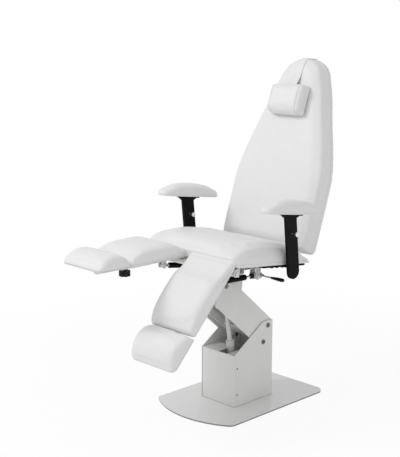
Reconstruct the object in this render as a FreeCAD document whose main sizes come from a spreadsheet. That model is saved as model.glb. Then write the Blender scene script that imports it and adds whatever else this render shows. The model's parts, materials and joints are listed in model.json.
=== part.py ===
import FreeCAD, Part
import Sketcher
import math
import os
import re

# Podiatry chair: a motorised parallelogram lift on a floor plate carries a tilted seat with a
# reclining back, two separately hinged legs with sliding foot pads, and two swinging armrests.
# Millimetres. X points to the patient's left, Y backwards, Z up.
# The origin is the centre of the floor plate's underside.

SIZES = {
    # Floor plate
    "plate_width": 485,
    "plate_length": 714,
    "plate_thickness": 8,
    "plate_bow": 78,
    "plate_rear_rounding": 45,
    "plate_front_rounding": 30,
    # Column of folded sheet
    "column_width": 210,
    "column_depth": 255,
    "column_setback": 231,
    "column_sheet": 3,
    "column_front_rise": 245,
    "column_rear_rise": 368,
    "column_slope_run": 190,
    "column_slope_rounding": 40,
    "rear_cover_rise": 308,
    "front_flange_reach": 30,
    "front_shelf_reach": 106,
    "shelf_slot_width": 56,
    "shelf_slot_margin": 4,
    "sheet_seam": 0.2,
    "outline_tolerance": 1,
    "cover_screw_radius": 4,
    "cover_screw_head": 1.6,
    "cover_screw_low": 57,
    "cover_screw_high": 181,
    "cover_screw_inset": 19,
    # Lift arm and lower link
    "arm_pivot_setback": 223,
    "arm_pivot_rise": 345,
    "link_pivot_forward": 31.5,
    "link_pivot_drop": 74,
    "arm_length": 359,
    "arm_rest_angle": 41,
    "arm_sheet": 4,
    "arm_side_gap": 3.5,
    "arm_top_edge": 37,
    "arm_lower_edge": 104,
    "arm_waist": 45,
    "arm_web_end": 116,
    "arm_web_start": 12,
    "arm_rib_place": 170,
    "arm_rib_depth": 20,
    "pivot_radius": 8,
    "pivot_play": 0.06,
    "pivot_head_radius": 10,
    "pivot_head_height": 5,
    "pivot_nut_radius": 12,
    "pivot_nut_height": 6,
    "side_play": 0.5,
    "link_bar_height": 30,
    "link_bar_thickness": 6,
    "link_bar_gap": 14,
    "link_plate_start": 30,
    "link_plate_length": 85,
    "link_plate_thickness": 4,
    # Linear actuator
    "actuator_offset": 25,
    "actuator_foot_setback": 92,
    "actuator_foot_rise": 37,
    "actuator_arm_reach": 225,
    "actuator_arm_drop": 40,
    "actuator_ear_thickness": 5,
    "actuator_ear_radius": 15,
    "actuator_eye_width": 24,
    "actuator_eye_radius": 12,
    "actuator_pin_radius": 6,
    "actuator_tube_radius": 17,
    "actuator_collar_radius": 20,
    "actuator_collar_height": 30,
    "actuator_rod_radius": 11,
    "actuator_rod_play": 0.3,
    "actuator_tube_top": 259,
    "actuator_tube_floor": 78,
    "actuator_gear_height": 62,
    "actuator_gear_width": 46,
    "motor_radius": 30,
    "motor_length": 118,
    "motor_setback": 62,
    # Head bracket between the lift arm and the seat
    "head_sheet": 4,
    "head_side_gap": 1,
    "head_front_reach": 75,
    "head_rear_reach": 108,
    "head_rear_drop": 27,
    "head_foot_margin": 25,
    "head_rounding": 22,
    "head_top_plate": 5,
    # Seat frame
    "seat_tilt_angle": 6.5,
    "seat_frame_rise": 87,
    "frame_tube": 30,
    "frame_tube_wall": 2,
    "rail_offset": 147,
    "frame_front": -98,
    "frame_rear": 334,
    "leg_ear_outer": 252,
    "leg_ear_inner": 42,
    "leg_ear_thickness": 8,
    "leg_ear_radius": 14,
    "cross_tube_front_place": -40,
    "cross_tube_mid_place": 60,
    "cross_tube_spring_place": 122,
    "cross_tube_rear_place": 178,
    "seat_board_thickness": 8,
    "seat_board_half_width": 276,
    "seat_board_front": -112,
    "edge_rail_front": 27,
    "edge_rail_rear": 303,
    "edge_rail_width": 30,
    "edge_rail_thickness": 8,
    "edge_rail_offset": 267,
    "frame_bolt_radius": 7,
    "frame_bolt_height": 6,
    "frame_bolt_first": 98,
    "frame_bolt_pitch": 35,
    # Seat cushion
    "seat_half_width": 294,
    "seat_nose_reach": 160,
    "seat_nose_rise": 28,
    "seat_thickness": 92,
    "seat_rear_thickness": 69,
    "seat_tail_thickness": 25,
    "seat_rear": 288,
    "seat_tail": 333,
    "seat_bevel": 16,
    # Leg hinge and legs
    "leg_hinge_forward": 115.7,
    "leg_hinge_rise": 88,
    "left_leg_rest_angle": 47,
    "right_leg_rest_angle": 0,
    "leg_barrel_radius": 12,
    "leg_tube_start": 8,
    "leg_tube_end": 300,
    "leg_pad_rise": 39,
    "leg_board_half_width": 116,
    "leg_inner": 10.5,
    "leg_outer": 283.5,
    "calf_start": 8,
    "calf_end": 338,
    "calf_thickness": 68,
    "calf_tail_thickness": 4,
    "calf_end_thickness": 34,
    "foot_start": 343,
    "foot_end": 508,
    "foot_thickness": 64,
    "foot_end_thickness": 26,
    "calf_bevel": 3.5,
    "foot_bevel": 12,
    "foot_bar_width": 23,
    "foot_bar_height": 15,
    "foot_bar_start": 150,
    "foot_bar_play": 0.6,
    "foot_plate_start": 352,
    "foot_plate_end": 430,
    "foot_plate_half_width": 60,
    "knob_place": 272,
    "knob_radius": 25,
    "knob_height": 24,
    "knob_stem_radius": 5,
    "knob_hub_height": 8,
    "knob_flute_count": 8,
    "knob_flute_radius": 4,
    # Leg gas springs
    "spring_base_setback": 127.4,
    "spring_base_rise": 48.2,
    "spring_leg_reach": 54,
    "spring_leg_drop": 22,
    "spring_body_radius": 13,
    "spring_body_length": 150,
    "spring_fitting_length": 43,
    "spring_wall": 2,
    "spring_rod_radius": 5,
    "spring_rod_length": 124,
    "spring_piston_length": 8,
    "spring_play": 0.3,
    "spring_eye_radius": 9,
    "spring_eye_width": 16,
    "spring_pin_radius": 6,
    "spring_ear_thickness": 4,
    "spring_ear_radius": 16,
    "spring_ear_gap": 30,
    "leg_lug_gap": 20,
    "leg_lug_thickness": 5,
    "leg_lug_radius": 12,
    "release_head_width": 27,
    "release_head_height": 24,
    "release_head_length": 34,
    "release_boot_radius": 11,
    "release_boot_length": 16,
    "lever_set_back": 26.5,
    "lever_radius": 3.5,
    "lever_end": 232,
    "lever_boss_radius": 5.3,
    "lever_boss_length": 10,
    "lever_pin_radius": 2.5,
    "lever_ear_thickness": 3,
    "lever_grip_radius": 10,
    "lever_grip_end": 296,
    # Back
    "back_hinge_setback": 356,
    "back_hinge_rise": 130,
    "back_lean_angle": 19,
    "back_hinge_radius": 11,
    "back_lug_thickness": 8,
    "back_lug_offset": 148,
    "back_front": 72.5,
    "back_cushion_thickness": 86,
    "back_board_thickness": 12,
    "back_bottom": 20,
    "back_height": 898,
    "back_half_width": 272,
    "back_board_inset": 14,
    "back_edge_bevel": 16,
    "back_tube_depth": 20,
    "back_tube_width": 25,
    "back_tube_top": 640,
    "back_tube_spacing": 90,
    "back_spring_base_setback": 139,
    "back_spring_base_rise": 52,
    "back_lever_depth": 35,
    "back_lever_drop": 60,
    "back_lever_thickness": 8,
    "back_spring_body_start": 19,
    "back_spring_body_length": 128,
    "back_spring_rod_start": 118,
    # Head cushion
    "head_cushion_drop": 282,
    "head_cushion_height": 146,
    "head_cushion_half_width": 100,
    "head_cushion_thickness": 63,
    "head_cushion_rounding": 26,
    "head_cushion_gap": 3,
    "strap_width": 35,
    "strap_thickness": 1.5,
    "strap_drop": 228,
    "strap_clearance": 0.6,
    # Armrests
    "armrest_offset": 322,
    "armrest_pivot_setback": 177,
    "armrest_pivot_rise": 95.7,
    "armrest_lean_angle": 5.7,
    "armrest_bar_width": 68,
    "armrest_bar_thickness": 14,
    "armrest_joint_rise": 72,
    "armrest_top_rise": 254,
    "armrest_tongue_width": 56,
    "armrest_tongue_thickness": 8,
    "armrest_tongue_top": 205,
    "armrest_tongue_play": 0.4,
    "armrest_flange_length": 116,
    "armrest_flange_width": 46,
    "armrest_flange_thickness": 5,
    "armrest_flare": 12,
    "armrest_slope_angle": 13.4,
    "armrest_pad_length": 364,
    "armrest_pad_half_width": 43,
    "armrest_pad_thickness": 63,
    "armrest_pad_setback": 5,
    "armrest_pad_bevel": 12,
    "armrest_bracket_thickness": 8,
    "armrest_bracket_radius": 24,
    "armrest_pin_depth": 10,
    "clamp_place": 173,
    "clamp_thread_radius": 4,
    "clamp_small_radius": 5,
    "clamp_large_radius": 11,
    "clamp_length": 28,
    "clamp_tip_gap": 0.3,
}

# Shares of a piece's own size, for the outlines of the soft pieces.
# Height up the back, half width there.
BACK_OUTLINE_SHARES = [
    (0.022, 0.985), (0.14, 1.0), (0.26, 1.0), (0.40, 0.985), (0.50, 0.915),
    (0.60, 0.82), (0.70, 0.712), (0.80, 0.612), (0.885, 0.495), (0.95, 0.375), (0.985, 0.2),
]
# Run along the calf pad, height of its upper face.
CALF_CROWN_SHARES = [(0.08, 0.32), (0.16, 0.74), (0.34, 0.98), (0.62, 1.0), (0.86, 0.84)]
# Run along the foot pad, height of its upper face.
FOOT_CROWN_SHARES = [(0.14, 0.84), (0.42, 1.0), (0.74, 0.86)]
# Run along the seat from its nose to its rear, height of its upper face.
SEAT_CROWN_SHARES = [(0.045, 0.52), (0.13, 0.82), (0.28, 0.99), (0.56, 1.0), (0.86, 0.86)]
# Length along the armrest pad, height of its upper face.
PAD_ARCH_SHARES = [(0.0, 0.28), (0.08, 0.55), (0.22, 0.84), (0.43, 1.0), (0.66, 0.95), (0.86, 0.7),
                   (0.96, 0.42), (1.0, 0.24)]

doc = FreeCAD.newDocument("podiatry_chair")
sheet = doc.addObject("Spreadsheet::Sheet", "sizes")
for row, (alias, number) in enumerate(SIZES.items(), start=1):
    sheet.set(f"A{row}", alias)
    sheet.set(f"B{row}", str(number))
    sheet.setAlias(f"B{row}", alias)
doc.recompute()

SIDES = (("left", 1), ("right", -1))
sub_parts = []


def size(alias):
    """A driving dimension, read from the sheet."""
    return float(getattr(sheet, alias))


def bound(text):
    """An expression in which every driving dimension names its cell."""
    words = re.compile(r"[a-z]+(?:_[a-z]+)+")
    return words.sub(lambda word: "sizes." + word.group() if word.group() in SIZES else word.group(),
                     str(text))


def vector(x, y, z):
    return FreeCAD.Vector(x, y, z)


def about_x(degrees):
    return FreeCAD.Rotation(vector(1, 0, 0), degrees)


# Frames that the pieces are drawn in
def frame_at(y, z, degrees=0, x=0):
    return FreeCAD.Placement(vector(x, y, z), about_x(degrees))


def lean_of(low, high):
    """The turn about X that brings +Z onto the line from low to high."""
    return math.degrees(math.atan2(low.y - high.y, high.z - low.z))


def fall_of(near, far):
    """The turn about X that brings -Y onto the line from near to far."""
    return -math.degrees(math.atan2(far.z - near.z, near.y - far.y))


column_front = size("column_setback") - size("plate_length") / 2
arm_y = column_front + size("arm_pivot_setback")
arm_z = size("plate_thickness") + size("arm_pivot_rise")
frames = {"floor": frame_at(0, 0)}
frames["column"] = frame_at(column_front, size("plate_thickness"))
frames["arm"] = frame_at(arm_y, arm_z, -size("arm_rest_angle"))
frames["link"] = frame_at(arm_y - size("link_pivot_forward"), arm_z - size("link_pivot_drop"),
                          -size("arm_rest_angle"))
head_point = frames["arm"].multVec(vector(0, -size("arm_length"), 0))
link_point = frames["link"].multVec(vector(0, -size("arm_length"), 0))
frames["seat"] = frame_at(head_point.y, head_point.z, -size("seat_tilt_angle"))
foot_point = vector(0, column_front + size("actuator_foot_setback"),
                    size("plate_thickness") + size("actuator_foot_rise"))
eye_point = frames["arm"].multVec(vector(0, -size("actuator_arm_reach"), -size("actuator_arm_drop")))
frames["actuator"] = frame_at(foot_point.y, foot_point.z, lean_of(foot_point, eye_point),
                              size("actuator_offset"))
actuator_length = (eye_point - foot_point).Length
back_point = frames["seat"].multVec(vector(0, size("back_hinge_setback"), size("back_hinge_rise")))
frames["back"] = frame_at(back_point.y, back_point.z, -size("back_lean_angle"))
hinge_point = frames["seat"].multVec(vector(0, -size("leg_hinge_forward"), size("leg_hinge_rise")))
spring_point = frames["seat"].multVec(vector(0, size("spring_base_setback"), size("spring_base_rise")))
spring_lengths = {}
for side, sign in SIDES:
    leg = frame_at(hinge_point.y, hinge_point.z, size(f"{side}_leg_rest_angle"))
    frames["leg_" + side] = leg
    lug_point = leg.multVec(vector(0, -size("spring_leg_reach"), -size("spring_leg_drop")))
    frames["spring_" + side] = frame_at(spring_point.y, spring_point.z, fall_of(spring_point, lug_point),
                                        sign * size("rail_offset"))
    spring_lengths[side] = (lug_point - spring_point).Length
armrest_point = frames["seat"].multVec(vector(0, size("armrest_pivot_setback"), size("armrest_pivot_rise")))
for side, sign in SIDES:
    frames["armrest_" + side] = frame_at(armrest_point.y, armrest_point.z, size("armrest_lean_angle"),
                                         sign * size("armrest_offset"))
back_spring_point = frames["seat"].multVec(vector(0, size("back_spring_base_setback"),
                                                  size("back_spring_base_rise")))
back_lever_point = frames["back"].multVec(vector(0, size("back_lever_depth"), -size("back_lever_drop")))
frames["back_spring"] = frame_at(back_spring_point.y, back_spring_point.z,
                                 fall_of(back_spring_point, back_lever_point))
back_spring_length = (back_lever_point - back_spring_point).Length


# Drawing helpers: every length goes in as an expression on the sheet
def bind(thing, prop, text):
    thing.setExpression(prop, bound(text))


def place(thing, x, y, z):
    for axis, text in zip("xyz", (x, y, z)):
        bind(thing, f"Placement.Base.{axis}", text)


def box(x, y, z):
    """A box between pairs of expressions along each axis."""
    thing = doc.addObject("Part::Box", "box")
    for prop, (low, high) in zip(("Length", "Width", "Height"), (x, y, z)):
        bind(thing, prop, f"({high}) - ({low})")
    place(thing, x[0], y[0], z[0])
    return thing


def rod(axis, start, length, radius, radius_end=None):
    """A cylinder or a cone along an axis from a start point."""
    if radius_end is None:
        thing = doc.addObject("Part::Cylinder", "rod")
        bind(thing, "Radius", radius)
    else:
        thing = doc.addObject("Part::Cone", "cone")
        bind(thing, "Radius1", radius)
        bind(thing, "Radius2", radius_end)
    bind(thing, "Height", length)
    turn = {"x": (vector(0, 1, 0), 90), "y": (vector(1, 0, 0), -90), "z": (vector(1, 0, 0), 0)}[axis]
    thing.Placement = FreeCAD.Placement(vector(0, 0, 0), FreeCAD.Rotation(*turn))
    place(thing, *start)
    return thing


def fuse(*things):
    joined = doc.addObject("Part::MultiFuse", "joined")
    joined.Shapes = list(things)
    return joined


def cut(base, *tools):
    result = doc.addObject("Part::Cut", "result")
    result.Base = base
    result.Tool = tools[0] if len(tools) == 1 else fuse(*tools)
    return result


def plate(points, span, holes=(), rounds=None, plane="YZ_Plane"):
    """A body padded from a closed outline, with round holes and rounded corners.

    In the YZ plane points are (y, z) and span runs along X.
    In the XY plane they are (x, y) and span runs along Z.
    """
    body = doc.addObject("PartDesign::Body", "plate")
    sketch = body.newObject("Sketcher::SketchObject", "outline")
    sketch.AttachmentSupport = [(next(f for f in body.Origin.OriginFeatures if f.Role == plane), "")]
    sketch.MapMode = "FlatFace"
    bind(sketch, "AttachmentOffset.Base.z", span[0])
    count = len(points)
    corner = [vector(math.cos(2 * math.pi * i / count), math.sin(2 * math.pi * i / count), 0)
              for i in range(count)]
    for i in range(count):
        sketch.addGeometry(Part.LineSegment(corner[i], corner[(i + 1) % count]))
    for i in range(count):
        sketch.addConstraint(Sketcher.Constraint("Coincident", i, 2, (i + 1) % count, 1))
    for i, point in enumerate(points):
        for direction, text in zip(("DistanceX", "DistanceY"), point):
            fixed = sketch.addConstraint(Sketcher.Constraint(direction, -1, 1, i, 1, 1))
            sketch.setExpression(f"Constraints[{fixed}]", bound(text))
    for x, y, radius in holes:
        circle = sketch.addGeometry(Part.Circle(vector(0, 0, 0), vector(0, 0, 1), 1))
        held = sketch.addConstraint(Sketcher.Constraint("Radius", circle, 1))
        sketch.setExpression(f"Constraints[{held}]", bound(radius))
        for direction, text in (("DistanceX", x), ("DistanceY", y)):
            fixed = sketch.addConstraint(Sketcher.Constraint(direction, -1, 1, circle, 3, 1))
            sketch.setExpression(f"Constraints[{fixed}]", bound(text))
    pad = body.newObject("PartDesign::Pad", "pad")
    pad.Profile = sketch
    bind(pad, "Length", f"({span[1]}) - ({span[0]})")
    doc.recompute()
    for index, radius in (rounds or {}).items():
        spot = sketch.Placement.multVec(sketch.Geometry[index].StartPoint)
        across = sketch.Placement.Rotation.multVec(vector(0, 0, 1))
        names = []
        sharp = body.Tip
        for number, edge in enumerate(sharp.Shape.Edges, start=1):
            if len(edge.Vertexes) == 2:
                away = [(v.Point - spot).cross(across).Length for v in edge.Vertexes]
                if max(away) < size("sheet_seam") / 100:
                    names.append(f"Edge{number}")
        fillet = body.newObject("PartDesign::Fillet", "round")
        fillet.Base = (sharp, names)
        bind(fillet, "Radius", radius)
        doc.recompute()
    return body


def tube(x, y, z, along):
    """A rectangular tube between pairs of expressions, open at both ends."""
    walls = {"x": x, "y": y, "z": z}
    inner = {axis: (f"({low}) + frame_tube_wall", f"({high}) - frame_tube_wall") for axis,
             (low, high) in walls.items()}
    inner[along] = walls[along]
    return cut(box(x, y, z), box(inner["x"], inner["y"], inner["z"]))


def finish(thing, label, frame):
    """Names a sub-part and sets it in its frame."""
    thing.Label = label
    local = thing.Placement
    thing.Placement = frames[frame].multiply(local)
    sub_parts.append(thing)
    return thing


def soft(shape, label, frame):
    """A soft piece from a free outline, which no feature of the sheet can hold."""
    thing = doc.addObject("Part::Feature", label)
    thing.Shape = shape
    return finish(thing, label, frame)


def span_of(sign, low, high):
    """The pair of expressions for a stretch of X on one side."""
    if sign > 0:
        return (f"{low}", f"{high}")
    return (f"-({high})", f"-({low})")


# Floor plate: straight sides, a bowed front and rounded corners
def floor_plate():
    half_width = size("plate_width") / 2
    half_length = size("plate_length") / 2
    shoulder = -half_length + size("plate_bow")
    corners = [vector(half_width, shoulder, 0), vector(half_width, half_length, 0),
               vector(-half_width, half_length, 0), vector(-half_width, shoulder, 0)]
    edges = [Part.LineSegment(corners[i], corners[i + 1]).toShape() for i in range(3)]
    edges.append(Part.Arc(corners[3], vector(0, -half_length, 0), corners[0]).toShape())
    solid = Part.Face(Part.Wire(edges)).extrude(vector(0, 0, size("plate_thickness")))
    for near_rear, radius in ((True, "plate_rear_rounding"), (False, "plate_front_rounding")):
        upright = []
        for edge in solid.Edges:
            ends = [v.Point for v in edge.Vertexes]
            is_upright = len(ends) == 2 and abs(ends[0].z - ends[1].z) > size("plate_thickness") / 2
            if is_upright and (ends[0].y > 0) == near_rear:
                upright.append(edge)
        solid = solid.makeFillet(size(radius), upright)
    soft(solid, "base_plate", "floor")


# Column: two side sheets, a folded front cover with its shelf, and a rear cover
def column():
    half = "column_width / 2"
    for side, sign in SIDES:
        points = [("0", "0"), ("column_depth", "0"), ("column_depth", "column_rear_rise"),
                  ("column_slope_run", "column_rear_rise"), ("0", "column_front_rise")]
        arm_rise = "arm_pivot_rise"
        holes = [("arm_pivot_setback", arm_rise, "pivot_radius + sheet_seam"),
                 ("arm_pivot_setback - link_pivot_forward", f"{arm_rise} - link_pivot_drop",
                  "pivot_radius + sheet_seam")]
        for rise in ("cover_screw_low", "cover_screw_high"):
            holes.append(("cover_screw_inset", rise, "cover_screw_radius / 2 + sheet_seam"))
        body = plate(points, span_of(sign, f"{half} - column_sheet", half), holes,
                     {3: "column_slope_rounding"})
        finish(body, f"column_side_{side}", "column")
    inside = f"{half} - column_sheet - sheet_seam"
    outer = box((f"-({inside})", inside), ("0", "front_flange_reach"), ("0", "column_front_rise"))
    wall = "column_sheet"
    hollow = box((f"-({inside}) + {wall}", f"{inside} - {wall}"), (wall, "front_flange_reach + sheet_seam"),
                 (f"-{wall}", f"column_front_rise - {wall}"))
    shelf = box((f"-({inside})", inside), ("front_flange_reach - column_sheet", "front_shelf_reach"),
                (f"column_front_rise - {wall}", "column_front_rise"))
    slot = box(("actuator_offset - shelf_slot_width / 2", "actuator_offset + shelf_slot_width / 2"),
               ("shelf_slot_margin", "front_shelf_reach + sheet_seam"),
               (f"column_front_rise - 2 * {wall}", "column_front_rise + sheet_seam"))
    bores = [rod("x", (f"-({inside}) - sheet_seam", "cover_screw_inset", rise), "column_width",
                 "cover_screw_radius / 2 + sheet_seam")
             for rise in ("cover_screw_low", "cover_screw_high")]
    finish(cut(fuse(cut(outer, hollow), shelf), slot, *bores), "column_front_cover", "column")
    rear = box((f"-({inside})", inside), ("column_depth - column_sheet", "column_depth"),
               ("0", "rear_cover_rise"))
    lips = [box(span_of(sign, f"{inside} - column_sheet", inside),
                ("column_depth - front_flange_reach", "column_depth"),
                ("0", "rear_cover_rise")) for side, sign in SIDES]
    finish(fuse(rear, *lips), "column_rear_cover", "column")


# Cover screws, and pivot bolts through the column sides.
# The upper pair carries the lift arm, the lower pair the link.
def column_bolts():
    half = "column_width / 2"
    bolts = []
    for side, sign in SIDES:
        for rise in ("cover_screw_low", "cover_screw_high"):
            reach = "column_sheet * 2 + sheet_seam"
            low, high = span_of(sign, f"{half} - ({reach})", f"{half} + cover_screw_head")
            shank = rod("x", (low, "cover_screw_inset", rise), f"({high}) - ({low})",
                        "cover_screw_radius / 2")
            low, high = span_of(sign, half, f"{half} + cover_screw_head")
            head = rod("x", (low, "cover_screw_inset", rise), f"({high}) - ({low})", "cover_screw_radius")
            bolts.append(fuse(shank, head))
    outside = "column_width / 2"
    arm_inner = "column_width / 2 - column_sheet - arm_side_gap - arm_sheet"
    link_outer = f"{arm_inner} - head_side_gap - head_sheet - link_bar_gap"
    link_inner = f"{link_outer} - link_bar_thickness"
    for side, sign in SIDES:
        for forward, drop, inner, spacer in (
                ("0", "0", arm_inner, "column_width / 2 - column_sheet - arm_side_gap + side_play"),
                ("link_pivot_forward", "link_pivot_drop", link_inner, f"{link_outer} + side_play")):
            y = f"arm_pivot_setback - ({forward})"
            z = f"arm_pivot_rise - ({drop})"
            pieces = []
            for low, high, radius in (
                    (f"{inner} - side_play - pivot_nut_height", f"{inner} - side_play", "pivot_nut_radius"),
                    (f"{inner} - side_play - pivot_nut_height", f"{outside} + pivot_head_height",
                     "pivot_radius"),
                    (spacer, f"{outside} - column_sheet", "pivot_nut_radius"),
                    (outside, f"{outside} + pivot_head_height", "pivot_head_radius")):
                start, end = span_of(sign, low, high)
                pieces.append(rod("x", (start, y, z), f"({end}) - ({start})", radius))
            bolts.append(fuse(*pieces))
    finish(fuse(*bolts), "column_bolts", "column")


# Lift arm: an inverted channel of two side sheets, a web and tubes across
def lift_arm():
    outer = "column_width / 2 - column_sheet - arm_side_gap"
    inner = f"{outer} - arm_sheet"
    points = [("arm_top_edge", "arm_top_edge"), ("-arm_length - arm_top_edge", "arm_top_edge"),
              ("-arm_length - arm_top_edge", "-arm_top_edge * 0.8"),
              ("-arm_length + arm_sheet", "-arm_lower_edge"),
              ("-arm_waist * 1.05", "-arm_lower_edge"), ("-arm_waist * 0.9", "-arm_waist"),
              ("arm_top_edge", "-arm_top_edge * 0.3")]
    rounds = {0: "arm_top_edge * 0.98", 1: "arm_top_edge * 0.98", 2: "arm_top_edge / 2",
              3: "arm_top_edge / 2"}
    holes = [("0", "0", "pivot_radius + pivot_play"), ("-arm_length", "0", "pivot_radius + pivot_play")]
    for side, sign in SIDES:
        finish(plate(points, span_of(sign, inner, outer), holes, rounds), f"lift_arm_side_{side}", "arm")
    web_span = ("-arm_length + arm_web_end", "-arm_web_start")
    web = box((f"-({inner})", inner), web_span, ("arm_top_edge - arm_sheet", "arm_top_edge"))
    stiffener = box((f"-({inner})", inner), ("-arm_rib_place - arm_sheet", "-arm_rib_place"),
                    ("arm_top_edge - arm_sheet - arm_rib_depth", "arm_top_edge - arm_sheet"))
    finish(fuse(web, stiffener), "lift_arm_web", "arm")
    ears = []
    gap = "actuator_eye_width / 2 + side_play"
    for sign in (1, -1):
        shape = [("-actuator_arm_reach - actuator_ear_radius", "-actuator_arm_drop - actuator_ear_radius"),
                 ("-actuator_arm_reach + actuator_ear_radius", "-actuator_arm_drop - actuator_ear_radius"),
                 ("-actuator_arm_reach + actuator_ear_radius * 2", "arm_top_edge - arm_sheet"),
                 ("-actuator_arm_reach - actuator_ear_radius * 2", "arm_top_edge - arm_sheet")]
        start, end = span_of(sign, gap, f"{gap} + actuator_ear_thickness")
        ears.append(plate(shape, (f"actuator_offset + ({start})", f"actuator_offset + ({end})"), (),
                          {0: "actuator_ear_radius * 0.9", 1: "actuator_ear_radius * 0.9"}))
        start, end = span_of(sign, f"{gap} + actuator_ear_thickness", f"{gap} + actuator_ear_thickness * 2")
        ears.append(rod("x", (f"actuator_offset + ({start})", "-actuator_arm_reach", "-actuator_arm_drop"),
                        f"({end}) - ({start})", "actuator_pin_radius * 1.5"))
    finish(fuse(*ears), "lift_arm_ears", "arm")
    reach = "column_width / 2 - column_sheet - arm_side_gap"
    shaft = rod("x", (f"-({reach}) - arm_sheet / 2", "-arm_length", "0"), f"2 * ({reach}) + arm_sheet",
                "pivot_radius")
    heads = []
    for side, sign in SIDES:
        start, end = span_of(sign, reach, f"{reach} + arm_sheet / 2")
        heads.append(rod("x", (start, "-arm_length", "0"), f"({end}) - ({start})", "pivot_nut_radius"))
    finish(fuse(shaft, *heads), "lift_arm_head_shaft", "arm")


# Lower link: two bars with a plate across, parallel to the lift arm
def lower_link():
    outer = ("column_width / 2 - column_sheet - arm_side_gap - arm_sheet - head_side_gap"
             " - head_sheet - link_bar_gap")
    inner = f"{outer} - link_bar_thickness"
    half = "link_bar_height / 2"
    points = [(half, f"-{half}"), (half, half), (f"-arm_length - {half}", half),
              (f"-arm_length - {half}", f"-{half}")]
    rounds = {i: "link_bar_height * 0.49" for i in range(4)}
    holes = [("0", "0", "pivot_radius + pivot_play"), ("-arm_length", "0", "pivot_radius + pivot_play * 5")]
    bars = [plate(points, span_of(sign, inner, outer), holes, rounds) for side, sign in SIDES]
    across = box((f"-({inner})", inner), ("-link_plate_start - link_plate_length", "-link_plate_start"),
                 ("-link_plate_thickness / 2", "link_plate_thickness / 2"))
    finish(fuse(*bars, across), "lower_link", "link")


# Linear actuator in the column: foot bracket, motor and gear housing, outer tube, rod
def actuator():
    eye = "actuator_eye_width / 2"
    ears = []
    for sign in (1, -1):
        start, end = span_of(sign, f"{eye} + side_play", f"{eye} + side_play + actuator_ear_thickness")
        ears.append(plate([("-actuator_ear_radius", "-actuator_foot_rise"),
                           ("actuator_ear_radius", "-actuator_foot_rise"),
                           ("actuator_ear_radius", "actuator_ear_radius"),
                           ("-actuator_ear_radius", "actuator_ear_radius")],
                          (f"actuator_offset + ({start})", f"actuator_offset + ({end})"),
                          (), {2: "actuator_ear_radius * 0.95", 3: "actuator_ear_radius * 0.95"}))
    pin = rod("x", (f"actuator_offset - {eye} - side_play - actuator_ear_thickness * 1.5", "0", "0"),
              "actuator_eye_width + side_play * 2 + actuator_ear_thickness * 3", "actuator_pin_radius")
    sole = box((f"actuator_offset - {eye} * 2.5", f"actuator_offset + {eye} * 2.5"),
               ("-actuator_ear_radius * 2", "actuator_ear_radius * 2"),
               ("-actuator_foot_rise", "-actuator_foot_rise + arm_sheet"))
    foot = finish(fuse(*ears, pin, sole), "actuator_foot", "floor")
    foot.Placement = FreeCAD.Placement(foot_point, about_x(0))
    eye_piece = rod("x", (f"-{eye}", "0", "0"), "actuator_eye_width", "actuator_eye_radius")
    neck = box((f"-{eye}", eye), ("-actuator_eye_radius", "actuator_eye_radius"),
               ("0", "actuator_eye_radius * 2"))
    gear_low = "actuator_eye_radius * 1.6"
    gear = box(("-actuator_gear_width / 2", "actuator_gear_width / 2"),
               ("-actuator_gear_width / 2", "motor_setback + motor_radius * 0.8"),
               (gear_low, f"{gear_low} + actuator_gear_height * 0.5"))
    motor = rod("z", ("0", "motor_setback", gear_low), "motor_length", "motor_radius * 0.85")
    outer = rod("z", ("0", "0", gear_low), f"actuator_tube_top - ({gear_low})", "actuator_tube_radius")
    collar = rod("z", ("0", "0", "actuator_tube_top - actuator_collar_height"), "actuator_collar_height",
                 "actuator_collar_radius")
    bore = rod("z", ("0", "0", "actuator_tube_floor"), "actuator_tube_top",
               "actuator_rod_radius + actuator_rod_play")
    pin_hole = rod("x", ("-actuator_eye_width", "0", "0"), "actuator_eye_width * 2",
                   "actuator_pin_radius + pivot_play")
    finish(cut(fuse(eye_piece, neck, gear, motor, outer, collar), bore, pin_hole), "actuator_body",
           "actuator")
    shaft = rod("z", ("0", "0", f"{actuator_bottom()}"),
                f"{actuator_length - actuator_bottom()} - actuator_eye_radius * 0.5",
                "actuator_rod_radius")
    top_eye = rod("x", (f"-{eye}", "0", f"{actuator_length}"), "actuator_eye_width", "actuator_eye_radius")
    finish(fuse(shaft, top_eye), "actuator_rod", "actuator")


def actuator_bottom():
    """The rod's lower end at rest, which leaves it engaged in the tube at full height."""
    return size("actuator_tube_top") - size("motor_length") * 0.5


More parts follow.
